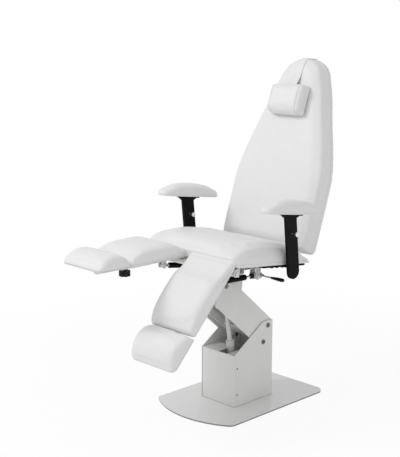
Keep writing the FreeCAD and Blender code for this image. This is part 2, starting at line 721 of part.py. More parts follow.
# Head bracket: two side sheets under a top plate, level with the seat
def head_bracket():
    outer = "column_width / 2 - column_sheet - arm_side_gap - arm_sheet - head_side_gap"
    inner = f"{outer} - head_sheet"
    link = frames["seat"].inverse().multVec(link_point)
    low = f"{link.z} - head_foot_margin"
    top = "seat_frame_rise"
    points = [("-head_front_reach", top), ("-head_front_reach", "0"), (f"{link.y} - head_foot_margin", low),
              (f"{link.y} + head_foot_margin", low), ("head_rear_reach", "-head_rear_drop"),
              ("head_rear_reach", top)]
    holes = [("0", "0", "pivot_radius + pivot_play"),
             (f"{link.y}", f"{link.z}", "pivot_radius + pivot_play")]
    sides = [plate(points, span_of(sign, inner, outer), holes,
                   {2: "head_rounding", 3: "head_rounding", 1: "head_rounding"})
             for side, sign in SIDES]
    top_plate = box((f"-({inner})", inner), ("-head_front_reach", "head_rear_reach"),
                    (f"{top} - head_top_plate", top))
    rib = box((f"-({inner})", inner), ("head_rear_reach - head_sheet", "head_rear_reach"),
              (f"{top} * 0.4", f"{top} - head_top_plate"))
    finish(fuse(*sides, top_plate, rib), "head_bracket", "seat")
    shaft = rod("x", (f"-({outer})", f"{link.y}", f"{link.z}"), f"2 * ({outer})", "pivot_radius")
    collar = f"{inner} - link_bar_gap + side_play"
    collars = []
    for side, sign in SIDES:
        start, end = span_of(sign, collar, inner)
        collars.append(rod("x", (start, f"{link.y}", f"{link.z}"), f"({end}) - ({start})",
                           "pivot_nut_radius"))
    finish(fuse(shaft, *collars), "head_link_shaft", "seat")


# Seat frame of square tube, with ears for the leg hinges, the gas springs and the back
def seat_frame():
    low, high = "seat_frame_rise", "seat_frame_rise + frame_tube"
    half = "frame_tube / 2"
    pieces = []
    for side, sign in SIDES:
        pieces.append(tube(span_of(sign, f"rail_offset - {half}", f"rail_offset + {half}"),
                           ("frame_front + frame_tube", "frame_rear"),
                           (low, high), "y"))
    pieces.append(tube(("-leg_ear_outer - leg_ear_thickness", "leg_ear_outer + leg_ear_thickness"),
                       ("frame_front", "frame_front + frame_tube"), (low, high), "x"))
    for start in ("cross_tube_front_place", "cross_tube_mid_place", "cross_tube_spring_place",
                  "cross_tube_rear_place"):
        pieces.append(tube((f"-(rail_offset - {half})", f"rail_offset - {half}"),
                           (start, f"{start} + frame_tube"), (low, high), "x"))
    finish(fuse(*pieces), "seat_frame", "seat")
    lugs = []
    hinge = ("-leg_hinge_forward", "leg_hinge_rise")
    for side, sign in SIDES:
        for place_x in ("leg_ear_inner", "leg_ear_outer"):
            points = [("frame_front", "seat_frame_rise + frame_tube"),
                      ("-leg_hinge_forward - leg_ear_radius", "leg_hinge_rise + leg_ear_radius"),
                      ("-leg_hinge_forward - leg_ear_radius", "leg_hinge_rise - leg_ear_radius"),
                      ("frame_front", "leg_hinge_rise - leg_ear_radius")]
            lugs.append(plate(points, span_of(sign, place_x, f"{place_x} + leg_ear_thickness"),
                              [(*hinge, "pivot_radius + pivot_play")],
                                {1: "leg_ear_radius * 0.5", 2: "leg_ear_radius * 0.9"}))
        gap = "spring_ear_gap / 2"
        for place_x, top in ((f"rail_offset - {gap} - spring_ear_thickness", low),
                             (f"rail_offset + {gap}", high)):
            points = [("spring_base_setback - spring_ear_radius", top),
                      ("spring_base_setback - spring_ear_radius", "spring_base_rise - spring_ear_radius"),
                      ("spring_base_setback + spring_ear_radius", "spring_base_rise - spring_ear_radius"),
                      ("spring_base_setback + spring_ear_radius", top)]
            lugs.append(plate(points, span_of(sign, place_x, f"{place_x} + spring_ear_thickness"),
                                [("spring_base_setback", "spring_base_rise",
                                  "spring_pin_radius + pivot_play")],
                                {1: "spring_ear_radius * 0.95", 2: "spring_ear_radius * 0.95"}))
        points = [("frame_rear", high), ("frame_rear", low),
                  ("back_hinge_setback - back_hinge_radius", "back_hinge_rise - back_hinge_radius * 1.5"),
                  ("back_hinge_setback + back_hinge_radius", "back_hinge_rise - back_hinge_radius"),
                  ("back_hinge_setback + back_hinge_radius", "back_hinge_rise + back_hinge_radius"),
                  ("back_hinge_setback - back_hinge_radius", "back_hinge_rise + back_hinge_radius")]
        ear = plate(points, span_of(sign, "back_lug_offset - side_play - back_lug_thickness",
                                    "back_lug_offset - side_play"),
                    [("back_hinge_setback", "back_hinge_rise", "pivot_radius + pivot_play")],
                    {3: "back_hinge_radius * 0.9", 4: "back_hinge_radius * 0.9"})
        lugs.append(ear)
    points = [("back_spring_base_setback - spring_ear_radius", low),
              ("back_spring_base_setback - spring_ear_radius", "back_spring_base_rise - spring_ear_radius"),
              ("back_spring_base_setback + spring_ear_radius", "back_spring_base_rise - spring_ear_radius"),
              ("back_spring_base_setback + spring_ear_radius", low)]
    for sign in (1, -1):
        lugs.append(plate(points, span_of(sign, "leg_lug_gap / 2",
                                          "leg_lug_gap / 2 + spring_ear_thickness"),
                            [("back_spring_base_setback", "back_spring_base_rise",
                              "spring_pin_radius + pivot_play")],
                            {1: "spring_ear_radius * 0.95", 2: "spring_ear_radius * 0.95"}))
    finish(fuse(*lugs), "seat_frame_lugs", "seat")
    top = f"{high} + seat_board_thickness"
    wide = "seat_board_half_width"
    corners = [(f"-{wide}", "seat_board_front"), (wide, "seat_board_front"), (wide, "frame_rear"),
               (f"-{wide}", "frame_rear")]
    board = plate(corners, (high, top), (), {i: "leg_ear_radius" for i in range(4)}, "XY_Plane")
    finish(board, "seat_board", "seat")
    rods = []
    for side, sign in SIDES:
        start, end = span_of(sign, "leg_ear_inner - leg_ear_thickness / 2",
                             "leg_ear_outer + leg_ear_thickness * 1.5")
        rods.append(rod("x", (start, *hinge), f"({end}) - ({start})", "pivot_radius"))
    pins = rods
    for side, sign in SIDES:
        start, end = span_of(sign, "rail_offset - spring_ear_gap / 2 - spring_ear_thickness * 1.5",
                             "rail_offset + spring_ear_gap / 2 + spring_ear_thickness * 1.5")
        pins.append(rod("x", (start, "spring_base_setback", "spring_base_rise"), f"({end}) - ({start})",
                        "spring_pin_radius"))
        start, end = span_of(sign, "back_lug_offset - side_play - back_lug_thickness * 1.3",
                             "back_lug_offset + back_lug_thickness * 1.3")
        pins.append(rod("x", (start, "back_hinge_setback", "back_hinge_rise"), f"({end}) - ({start})",
                        "pivot_radius"))
    pins.append(rod("x", ("-leg_lug_gap / 2 - spring_ear_thickness * 1.5", "back_spring_base_setback",
                          "back_spring_base_rise"),
                    "leg_lug_gap + spring_ear_thickness * 3", "spring_pin_radius"))
    finish(fuse(*pins), "seat_hinge_pins", "seat")


# Black edge rails with the armrest brackets and their bolts
def edge_rails():
    top = "seat_frame_rise + frame_tube"
    for side, sign in SIDES:
        half = "edge_rail_width / 2"
        rail = box(span_of(sign, f"edge_rail_offset - {half}", f"edge_rail_offset + {half}"),
                   ("edge_rail_front", "edge_rail_rear"),
                   (f"{top} - edge_rail_thickness", top))
        inner_face = "armrest_offset - armrest_bar_thickness / 2 - side_play - armrest_bracket_thickness"
        arm = box(span_of(sign, f"edge_rail_offset - {half}", inner_face),
                  ("armrest_pivot_setback - armrest_bracket_radius",
                   "armrest_pivot_setback + armrest_bracket_radius"),
                  (f"{top} - edge_rail_thickness", top))
        brace = box(span_of(sign, f"rail_offset + frame_tube / 2", f"edge_rail_offset - {half}"),
                    ("armrest_pivot_setback - armrest_bracket_radius",
                     "armrest_pivot_setback + armrest_bracket_radius"),
                    (f"{top} - edge_rail_thickness", top))
        cheek = plate([("armrest_pivot_setback - armrest_bracket_radius", top),
                       ("armrest_pivot_setback - armrest_bracket_radius",
                        "armrest_pivot_rise - armrest_bracket_radius"),
                       ("armrest_pivot_setback + armrest_bracket_radius",
                        "armrest_pivot_rise - armrest_bracket_radius"),
                       ("armrest_pivot_setback + armrest_bracket_radius", top)],
                      span_of(sign, inner_face, f"{inner_face} + armrest_bracket_thickness"), (),
                      {1: "armrest_bracket_radius * 0.9", 2: "armrest_bracket_radius * 0.9"})
        start, end = span_of(sign, f"{inner_face} + armrest_bracket_thickness / 2",
                             f"{inner_face} + armrest_bracket_thickness + side_play + armrest_pin_depth")
        pin = rod("x", (start, "armrest_pivot_setback", "armrest_pivot_rise"), f"({end}) - ({start})",
                  "pivot_radius")
        finish(fuse(rail, arm, brace, cheek, pin), f"armrest_bracket_{side}", "seat")
    bolts = []
    for side, sign in SIDES:
        for number in range(3):
            place_y = f"frame_bolt_first + {number} * frame_bolt_pitch"
            bolts.append(rod("z", (f"{sign} * edge_rail_offset", place_y,
                                   f"{top} - edge_rail_thickness - frame_bolt_height"),
                             "frame_bolt_height", "frame_bolt_radius"))
    finish(fuse(*bolts), "edge_rail_bolts", "seat")


def arcs_through(points):
    """Arcs that follow a smooth curve through points."""
    curve = Part.BSplineCurve()
    curve.interpolate(points)
    return [arc.toShape() for arc in curve.toBiArcs(size("outline_tolerance"))]


# Seat cushion: rounded nose over the legs, thin tail under the back
def crowned(start, end, low, shares, height):
    """Points of an upper face, from shares of its run and of its height."""
    return [vector(0, start + run * (end - start), low + rise * height) for run, rise in shares]


def cushion(points, first, last, half_span, bevel):
    """A closed solid below a smooth curve through points, closed by straight edges from last to first."""
    edges = arcs_through(points)
    upper = len(edges)
    chain = [points[-1]] + last + first + [points[0]]
    for near, far in zip(chain, chain[1:]):
        edges.append(Part.LineSegment(near, far).toShape())
    face = Part.Face(Part.Wire(edges))
    face.translate(vector(half_span[0], 0, 0))
    solid = face.extrude(vector(half_span[1] - half_span[0], 0, 0))
    crown = [edge.CenterOfMass for edge in edges[:upper]]
    rim = []
    for edge in solid.Edges:
        spot = edge.CenterOfMass
        if any(math.hypot(spot.y - p.y, spot.z - p.z) < size("outline_tolerance") / 10
               for p in crown) and edge.BoundBox.XLength < bevel:
            rim.append(edge)
    return solid.makeChamfer(bevel, rim)


def seat_cushion():
    base = size("seat_frame_rise") + size("frame_tube") + size("seat_board_thickness")
    nose = -size("seat_nose_reach")
    rear = size("seat_rear")
    crest = size("seat_thickness")
    top = [vector(0, nose, base + size("seat_nose_rise"))]
    top += crowned(nose, rear, base, SEAT_CROWN_SHARES, crest)
    top.append(vector(0, rear, base + size("seat_rear_thickness")))
    tail = base + size("seat_tail_thickness")
    last = [vector(0, rear - size("seat_tail_thickness") * 0.2, tail + size("seat_tail_thickness") * 0.5),
            vector(0, size("seat_tail"), tail), vector(0, size("seat_tail"), base)]
    first = [vector(0, -size("leg_hinge_forward"), base)]
    half = size("seat_half_width")
    soft(cushion(top, first, last, (-half, half), size("seat_bevel")), "seat_cushion", "seat")


# Legs: a tube on a hinge barrel, a calf pad, a sliding foot pad and its clamp knob
def legs():
    half = "frame_tube / 2"
    for side, sign in SIDES:
        frame = "leg_" + side
        clear = "side_play * 2"
        start, end = span_of(sign, f"leg_ear_inner + leg_ear_thickness + {clear}",
                             f"leg_ear_outer - {clear}")
        barrel = rod("x", (start, "0", "0"), f"({end}) - ({start})", "leg_barrel_radius")
        bore = rod("x", (f"({start}) - side_play", "0", "0"), f"({end}) - ({start}) + 2 * side_play",
                   "pivot_radius + pivot_play")
        spine = tube(span_of(sign, f"rail_offset - {half}", f"rail_offset + {half}"),
                     ("-leg_tube_end", "-leg_tube_start"), ("0", "frame_tube"), "y")
        board_low = "frame_tube"
        board = box(span_of(sign, "rail_offset - leg_board_half_width",
                            "rail_offset + leg_board_half_width"),
                    ("-calf_end * 0.95", "-calf_start - leg_barrel_radius"), (board_low, "leg_pad_rise"))
        lugs = []
        for place_x in ("rail_offset - leg_lug_gap / 2 - leg_lug_thickness",
                        "rail_offset + leg_lug_gap / 2"):
            points = [("-spring_leg_reach - leg_lug_radius", "0"),
                      ("-spring_leg_reach - leg_lug_radius", "-spring_leg_drop - leg_lug_radius"),
                      ("-spring_leg_reach + leg_lug_radius", "-spring_leg_drop - leg_lug_radius"),
                      ("-spring_leg_reach + leg_lug_radius", "0")]
            lugs.append(plate(points, span_of(sign, place_x, f"{place_x} + leg_lug_thickness"), (),
                              {1: "leg_lug_radius * 0.95", 2: "leg_lug_radius * 0.95"}))
        for place_x, reach in (("rail_offset - leg_lug_gap / 2 - leg_lug_thickness * 1.8", "0.8"),
                               ("rail_offset + leg_lug_gap / 2 + leg_lug_thickness", "0.8")):
            start, end = span_of(sign, place_x, f"{place_x} + leg_lug_thickness * {reach}")
            lugs.append(rod("x", (start, "-spring_leg_reach", "-spring_leg_drop"), f"({end}) - ({start})",
                            "leg_lug_radius * 0.7"))
        stem_hole = rod("z", (f"{sign} * rail_offset", "-knob_place", "-frame_tube"), "frame_tube * 1.5",
                        "knob_stem_radius + pivot_play")
        finish(cut(fuse(barrel, spine, board, *lugs), bore, stem_hole), f"leg_frame_{side}", frame)
        low = size("leg_pad_rise")
        top = [vector(0, -size("calf_start"), low + size("calf_tail_thickness"))]
        top += crowned(-size("calf_start"), -size("calf_end"), low, CALF_CROWN_SHARES,
                       size("calf_thickness"))
        top.append(vector(0, -size("calf_end"), low + size("calf_end_thickness")))
        reach = (size("leg_inner"), size("leg_outer")) if sign > 0 else (-size("leg_outer"),
                                                                         -size("leg_inner"))
        pad = cushion(top, [vector(0, -size("calf_start"), low)], [vector(0, -size("calf_end"), low)],
                      reach, size("calf_bevel"))
        soft(pad, f"calf_pad_{side}", frame)
        bar_half = "foot_bar_width / 2"
        middle = f"{sign} * rail_offset"
        bar_low = "frame_tube_wall + foot_bar_play"
        bar = box((f"{middle} - {bar_half}", f"{middle} + {bar_half}"),
                  ("-foot_plate_end", "-foot_bar_start"), (bar_low, f"{bar_low} + foot_bar_height"))
        rise = box((f"{middle} - {bar_half}", f"{middle} + {bar_half}"),
                   ("-foot_plate_end", "-foot_plate_start"),
                   (f"{bar_low} + foot_bar_height", "leg_pad_rise"))
        plate_top = box((f"{middle} - foot_plate_half_width", f"{middle} + foot_plate_half_width"),
                        ("-foot_plate_end", "-foot_plate_start"),
                        ("leg_pad_rise - arm_sheet", "leg_pad_rise"))
        finish(fuse(bar, rise, plate_top), f"foot_slide_{side}", frame)
        top = [vector(0, -size("foot_start"), low + size("calf_end_thickness"))]
        top += crowned(-size("foot_start"), -size("foot_end"), low, FOOT_CROWN_SHARES,
                       size("foot_thickness"))
        top.append(vector(0, -size("foot_end"), low + size("foot_end_thickness")))
        pad = cushion(top, [vector(0, -size("foot_start"), low)], [vector(0, -size("foot_end"), low)],
                      reach, size("foot_bevel"))
        soft(pad, f"foot_pad_{side}", frame)
        head_top = "-knob_hub_height"
        grip = rod("z", (middle, "-knob_place", f"{head_top} - knob_height"), "knob_height", "knob_radius")
        stem = rod("z", (middle, "-knob_place", head_top), f"knob_hub_height + {bar_low} - side_play * 0.6",
                   "knob_stem_radius")
        flutes = []
        for number in range(int(size("knob_flute_count"))):
            turn = 2 * math.pi * number / size("knob_flute_count")
            foot = (f"{middle} + {math.cos(turn)} * knob_radius",
                    f"-knob_place + {math.sin(turn)} * knob_radius", f"{head_top} - knob_height * 1.1")
            flutes.append(rod("z", foot, "knob_height * 1.2", "knob_flute_radius"))
        finish(fuse(cut(grip, *flutes), stem), f"foot_knob_{side}", frame)


# Lockable gas springs under the seat, one for each leg, with their release levers
def leg_springs():
    for side, sign in SIDES:
        frame = "spring_" + side
        length = spring_lengths[side]
        body_front = f"{-length} + spring_fitting_length"
        body = rod("y", ("0", body_front, "0"), "spring_body_length", "spring_body_radius")
        inside = rod("y", ("0", f"{body_front} + spring_wall * 2", "0"),
                     "spring_body_length - spring_wall * 6", "spring_body_radius - spring_wall")
        mouth = rod("y", ("0", f"{body_front} + spring_body_length / 2", "0"), "spring_body_length",
                    "spring_rod_radius + spring_play")
        finish(cut(body, inside, mouth), f"leg_spring_cylinder_{side}", frame)
        neck = rod("y", ("0", f"{-length}", "0"), "spring_fitting_length", "spring_eye_radius * 0.8")
        eye = rod("x", ("-spring_eye_width / 2", f"{-length}", "0"), "spring_eye_width",
                  "spring_eye_radius")
        finish(fuse(neck, eye), f"leg_spring_fitting_{side}", frame)
        stem = rod("y", ("0", "-spring_rod_length", "0"), "spring_rod_length", "spring_rod_radius")
        piston = rod("y", ("0", "-spring_rod_length", "0"), "spring_piston_length",
                     "spring_body_radius - spring_wall - spring_play")
        boot = rod("y", ("0", "-release_boot_length - release_head_length / 2", "0"), "release_boot_length",
                   "release_boot_radius")
        half = "release_head_width / 2"
        head = box((f"-{half}", half), ("-release_head_length / 2", "release_head_length"),
                   ("-release_head_height / 2", "release_head_height / 2"))
        hole = rod("x", ("-release_head_width", "0", "0"), "release_head_width * 2",
                   "spring_pin_radius + pivot_play")
        centre = f"{half} + side_play + lever_boss_radius"
        gap = "lever_boss_length / 2 + side_play"
        fork = []
        for direction in (1, -1):
            ear = span_of(direction, gap, f"{gap} + lever_ear_thickness")
            fork.append(box(span_of(sign, f"{half} - lever_ear_thickness", f"{centre} + lever_boss_radius"),
                            (f"lever_set_back + ({ear[0]})", f"lever_set_back + ({ear[1]})"),
                            ("-lever_boss_radius", "lever_boss_radius")))
        pin_place = f"{centre}" if sign > 0 else f"-({centre})"
        pin = rod("y", (pin_place, f"lever_set_back - ({gap}) - lever_ear_thickness", "0"),
                  f"2 * ({gap} + lever_ear_thickness)", "lever_pin_radius")
        finish(cut(fuse(stem, piston, boot, head, pin, *fork), hole), f"leg_spring_rod_{side}", frame)
        low, high = span_of(sign, centre, "lever_end - rail_offset")
        lever = rod("x", (low, "lever_set_back", "0"), f"({high}) - ({low})", "lever_radius")
        boss = rod("y", (pin_place, "lever_set_back - lever_boss_length / 2", "0"), "lever_boss_length",
                   "lever_boss_radius")
        bore = rod("y", (pin_place, "lever_set_back - lever_boss_length", "0"), "lever_boss_length * 2",
                   "lever_pin_radius + pivot_play")
        finish(cut(fuse(lever, boss), bore), f"release_lever_{side}", frame)
        low, high = span_of(sign, "lever_end - rail_offset - lever_radius * 3",
                            "lever_grip_end - rail_offset")
        grip = rod("x", (low, "lever_set_back", "0"), f"({high}) - ({low})", "lever_grip_radius")
        socket = rod("x", (f"({low}) - lever_radius" if sign > 0 else f"({high}) - lever_radius * 3",
                           "lever_set_back", "0"), "lever_radius * 4", "lever_radius + pivot_play")
        finish(cut(grip, socket), f"lever_grip_{side}", frame)


# Back: tube frame on two lugs, board and upholstery, with a gas spring to the seat frame
def back_outline(inset):
    """The back's tapered outline as a closed wire in its own plane, at Y of zero."""
    low = size("back_bottom") + inset
    height = size("back_height") - 2 * inset
    half = size("back_half_width") - inset
    right = [vector(half * wide, 0, low + height * up) for up, wide in BACK_OUTLINE_SHARES]
    left = [vector(-p.x, 0, p.z) for p in reversed(right)]
    corner = half * BACK_OUTLINE_SHARES[0][1] * 0.95
    ends = [left[-1], vector(-corner, 0, low), vector(corner, 0, low), right[0]]
    edges = arcs_through(right + [vector(0, 0, low + height)] + left)
    edges += [Part.LineSegment(a, b).toShape() for a, b in zip(ends, ends[1:])]
    return Part.Wire(edges)


def back():
    board_front = size("back_cushion_thickness") - size("back_front")
    face = Part.Face(back_outline(0))
    face.translate(vector(0, -size("back_front"), 0))
    solid = face.extrude(vector(0, size("back_cushion_thickness"), 0))
    front_rim = [e for e in solid.Edges if abs(e.BoundBox.YMax + size("back_front")) < size("sheet_seam")]
    soft(solid.makeChamfer(size("back_edge_bevel"), front_rim), "back_cushion", "back")
    face = Part.Face(back_outline(size("back_board_inset")))
    face.translate(vector(0, board_front, 0))
    soft(face.extrude(vector(0, size("back_board_thickness"), 0)), "back_board", "back")
    front = "back_cushion_thickness - back_front + back_board_thickness"
    rear = f"{front} + back_tube_depth"
    low = "back_bottom + back_tube_width / 2"
    high = f"{low} + back_tube_width"
    pieces = [tube(("-back_lug_offset - back_tube_width", "back_lug_offset + back_tube_width"),
                   (front, rear), (low, high), "x")]
    for side, sign in SIDES:
        upright = span_of(sign, "back_tube_spacing / 2", "back_tube_spacing / 2 + back_tube_width")
        pieces.append(tube(upright, (front, rear), (high, "back_tube_top"), "z"))
        points = [(f"-back_hinge_radius", "-back_hinge_radius"),
                  ("back_hinge_radius", "-back_hinge_radius"), (rear, "back_bottom"),
                  (rear, f"{high} + back_tube_width"), (front, f"{high} + back_tube_width"),
                  (front, "back_bottom * 0.7"),
                  ("-back_hinge_radius", "back_hinge_radius")]
        lug = span_of(sign, "back_lug_offset", "back_lug_offset + back_lug_thickness")
        rounds = {0: "back_hinge_radius * 0.9", 1: "back_hinge_radius * 0.5", 6: "back_hinge_radius * 0.9"}
        pieces.append(plate(points, lug, [("0", "0", "pivot_radius + pivot_play")], rounds))
    for start in ("back_tube_top - back_tube_width", "back_tube_top / 2"):
        pieces.append(box(("-back_tube_spacing / 2", "back_tube_spacing / 2"),
                          (front, f"{front} + back_tube_depth / 2"), (start, f"{start} + back_tube_width")))
    points = [("back_lever_depth - spring_ear_radius", "-back_lever_drop - spring_ear_radius"),
              ("back_lever_depth + spring_ear_radius * 0.7", "-back_lever_drop - spring_ear_radius"),
              (rear, low), (front, low)]
    for sign in (1, -1):
        pieces.append(plate(points, span_of(sign, "leg_lug_gap / 2",
                                            "leg_lug_gap / 2 + back_lever_thickness"), (),
                            {0: "spring_ear_radius * 0.7", 1: "spring_ear_radius * 0.7"}))
    finish(fuse(*pieces), "back_frame", "back")
    start = "back_spring_body_start"
    body = rod("y", ("0", f"-{start} - back_spring_body_length", "0"), "back_spring_body_length",
               "spring_body_radius")
    inside = rod("y", ("0", f"-{start} - back_spring_body_length + spring_wall * 4", "0"),
                 "back_spring_body_length - spring_wall * 6", "spring_body_radius - spring_wall")
    mouth = rod("y", ("0", f"-{start} - back_spring_body_length * 1.5", "0"), "back_spring_body_length",
                "spring_rod_radius + spring_play")
    eye = rod("x", ("-spring_eye_width / 2", "0", "0"), "spring_eye_width", "spring_eye_radius")
    neck = rod("y", ("0", f"-{start}", "0"), start, "spring_eye_radius * 0.8")
    hole = rod("x", ("-spring_eye_width", "0", "0"), "spring_eye_width * 2",
               "spring_pin_radius + pivot_play")
    finish(cut(fuse(body, eye, neck), inside, mouth, hole), "back_spring_cylinder", "back_spring")
    stem = rod("y", ("0", f"{-back_spring_length}", "0"), f"{back_spring_length} - back_spring_rod_start",
               "spring_rod_radius")
    piston = rod("y", ("0", "-back_spring_rod_start - spring_piston_length", "0"), "spring_piston_length",
                 "spring_body_radius - spring_wall - spring_play")
    eye = rod("x", ("-spring_eye_width / 2", f"{-back_spring_length}", "0"), "spring_eye_width",
              "spring_eye_radius")
    finish(fuse(stem, piston, eye), "back_spring_rod", "back_spring")


# Head cushion and the strap that holds it
def head_cushion():
    front = -size("back_front") - size("head_cushion_gap")
    block = doc.addObject("Part::Box", "block")
    bind(block, "Length", "head_cushion_half_width * 2")
    bind(block, "Width", "head_cushion_thickness")
    bind(block, "Height", "head_cushion_height")
    place(block, "-head_cushion_half_width", "-back_front - head_cushion_gap - head_cushion_thickness",
          "back_bottom + back_height - head_cushion_drop")
    doc.recompute()
    rounded = doc.addObject("Part::Fillet", "rounded")
    rounded.Base = block
    radius = size("head_cushion_rounding")
    rounded.Edges = [(number, radius, radius) for number, edge in enumerate(block.Shape.Edges, start=1)
                     if edge.BoundBox.YMax < front - radius and edge.BoundBox.XLength > radius]
    finish(rounded, "head_cushion", "back")
    front_low = "-back_front - strap_clearance - strap_thickness"
    half = "strap_width / 2"
    top = "back_bottom + back_height + strap_clearance"
    rear = "back_cushion_thickness - back_front + strap_clearance"
    face = box((f"-{half}", half), (front_low, f"{front_low} + strap_thickness"),
               ("back_bottom + back_height - strap_drop", f"{top} + strap_thickness"))
    over = box((f"-{half}", half), (front_low, f"{rear} + strap_thickness"),
               (top, f"{top} + strap_thickness"))
    down = box((f"-{half}", half), (rear, f"{rear} + strap_thickness"),
               ("back_bottom + back_height - back_board_inset + strap_clearance",
                f"{top} + strap_thickness"))
    finish(fuse(face, over, down), "head_strap", "back")


# Armrests: a flat bar on a side pivot, a sleeve that slides on it, a pad and a clamp screw
def armrests():
    half = "armrest_bar_thickness / 2"
    wide = "armrest_bar_width / 2"
    for side, sign in SIDES:
        frame = "armrest_" + side
        bar = plate([(f"-{wide}", f"-{wide}"), (wide, f"-{wide}"), (wide, "armrest_joint_rise"),
                     (f"-{wide}", "armrest_joint_rise")],
                    (f"-{half}", half), (), {0: "armrest_bar_width * 0.49", 1: "armrest_bar_width * 0.49"})
        tongue = box(("-armrest_tongue_thickness / 2", "armrest_tongue_thickness / 2"),
                     ("-armrest_tongue_width / 2", "armrest_tongue_width / 2"),
                     ("armrest_joint_rise - armrest_bar_thickness", "armrest_tongue_top"))
        start, end = span_of(sign, f"-{half} - side_play", f"-{half} + armrest_pin_depth + side_play")
        hole = rod("x", (start, "0", "0"), f"({end}) - ({start})", "pivot_radius + pivot_play")
        finish(cut(fuse(bar, tongue), hole), f"armrest_bar_{side}", frame)
        low = "armrest_joint_rise + side_play"
        slope = math.tan(math.radians(size("armrest_slope_angle")))
        top_front = f"armrest_top_rise + armrest_flange_length / 2 * {slope}"
        top_rear = f"armrest_top_rise - armrest_flange_length / 2 * {slope}"
        sleeve = plate([(f"-{wide}", low), (wide, low), (wide, f"{top_rear} - armrest_flare * 0.6"),
                        ("armrest_flange_length / 2", top_rear),
                        ("-armrest_flange_length / 2", top_front),
                        (f"-{wide}", f"{top_front} - armrest_flare * 1.8")], (f"-{half}", half))
        slot_half = "armrest_tongue_thickness / 2 + armrest_tongue_play"
        slot_wide = "armrest_tongue_width / 2 + armrest_tongue_play"
        slot = box((f"-({slot_half})", slot_half), (f"-({slot_wide})", slot_wide),
                   ("armrest_joint_rise", "armrest_top_rise - armrest_flange_thickness"))
        screw_hole = rod("x", ("0", "0", "clamp_place"), half + " + side_play",
                         "clamp_thread_radius + pivot_play")
        flange = pad_block("armrest_flange_length / 2", "armrest_flange_width / 2",
                           "armrest_flange_thickness")
        finish(fuse(cut(sleeve, slot, screw_hole), flange), f"armrest_sleeve_{side}", frame)
        soft(armrest_pad(), f"armrest_pad_{side}", frame)
        shank = rod("x", ("armrest_tongue_thickness / 2 + clamp_tip_gap", "0", "clamp_place"),
                    f"{half} + clamp_small_radius", "clamp_thread_radius")
        cone = rod("x", (f"{half} + side_play", "0", "clamp_place"), "clamp_length", "clamp_small_radius",
                   "clamp_large_radius")
        cap = rod("x", (f"{half} + side_play + clamp_length", "0", "clamp_place"), "clamp_small_radius / 2",
                  "clamp_large_radius", "clamp_large_radius * 0.7")
        finish(fuse(shank, cone, cap), f"armrest_clamp_{side}", frame)


def pad_block(half_length, half_width, thickness):
    """A flat plate on top of the sleeve, tilted with the pad."""
    thing = box((f"-({half_width})", half_width), (f"-({half_length})", half_length), ("0", thickness))
    tilt = FreeCAD.Placement(vector(0, 0, size("armrest_top_rise")), about_x(-size("armrest_slope_angle")))
    holder = fuse(thing, box(("-armrest_bar_thickness / 2", "armrest_bar_thickness / 2"),
                             (f"-({half_length}) * 0.5", f"({half_length}) * 0.5"),
                             (f"-armrest_flange_thickness * 2", "0")))
    holder.Placement = tilt
    return holder


def armrest_pad():
    """A long pad with round ends, a domed top and a flat underside."""
    half_width = size("armrest_pad_half_width")
    straight = size("armrest_pad_length") / 2 - half_width
    corners = [vector(half_width, -straight, 0), vector(half_width, straight, 0),
               vector(-half_width, straight, 0), vector(-half_width, -straight, 0)]
    tips = [vector(0, straight + half_width, 0), vector(0, -straight - half_width, 0)]
    edges = [Part.LineSegment(corners[0], corners[1]).toShape()]
    edges.append(Part.Arc(corners[1], tips[0], corners[2]).toShape())
    edges.append(Part.LineSegment(corners[2], corners[3]).toShape())
    edges.append(Part.Arc(corners[3], tips[1], corners[0]).toShape())
    plan = Part.Face(Part.Wire(edges)).extrude(vector(0, 0, size("armrest_pad_thickness") * 2))
    reach = size("armrest_pad_length") / 2 + size("armrest_pad_bevel")
    top = [vector(0, reach * (2 * along - 1), size("armrest_pad_thickness") * rise) for along,
           rise in PAD_ARCH_SHARES]
    arch = cushion(top, [vector(0, -reach, 0)], [vector(0, reach, 0)], (-half_width, half_width),
                   size("armrest_pad_bevel"))
    solid = plan.common(arch).Solids[0]
    lift = size("armrest_flange_thickness") + size("sheet_seam")
    tilt = FreeCAD.Placement(vector(0, 0, size("armrest_top_rise")), about_x(-size("armrest_slope_angle")))
    solid.Placement = tilt.multiply(FreeCAD.Placement(vector(0, size("armrest_pad_setback"), lift),
                                                      about_x(0)))
    return solid


floor_plate()
column()
column_bolts()
lift_arm()
lower_link()
actuator()
head_bracket()
seat_frame()
edge_rails()
seat_cushion()
legs()
leg_springs()
back()
head_cushion()
armrests()
doc.recompute()

# Checks, then one file for each sub-part
faults = []
for thing in doc.Objects:
    if "Invalid" in thing.State or "Error" in thing.State:
        faults.append(f"{thing.Name} in {', '.join(user.Label for user in thing.InList)}")
if faults:
    raise RuntimeError("not built: " + "; ".join(faults))
for thing in sub_parts:
    if thing.Shape.isNull() or not thing.Shape.isValid() or not thing.Shape.Solids:
        raise RuntimeError(f"{thing.Label} has no valid solid")
os.makedirs("parts", exist_ok=True)
for thing in sub_parts:
    thing.Shape.exportStep(f"parts/{thing.Label}.step")
print(len(sub_parts), "sub-parts")
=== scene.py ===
# The looks of a podiatry chair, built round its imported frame. Metres, in the frame's own axes.
import json
import math

import bmesh
import bpy
import numpy
from mathutils import Matrix, Vector, noise
from mathutils.bvhtree import BVHTree


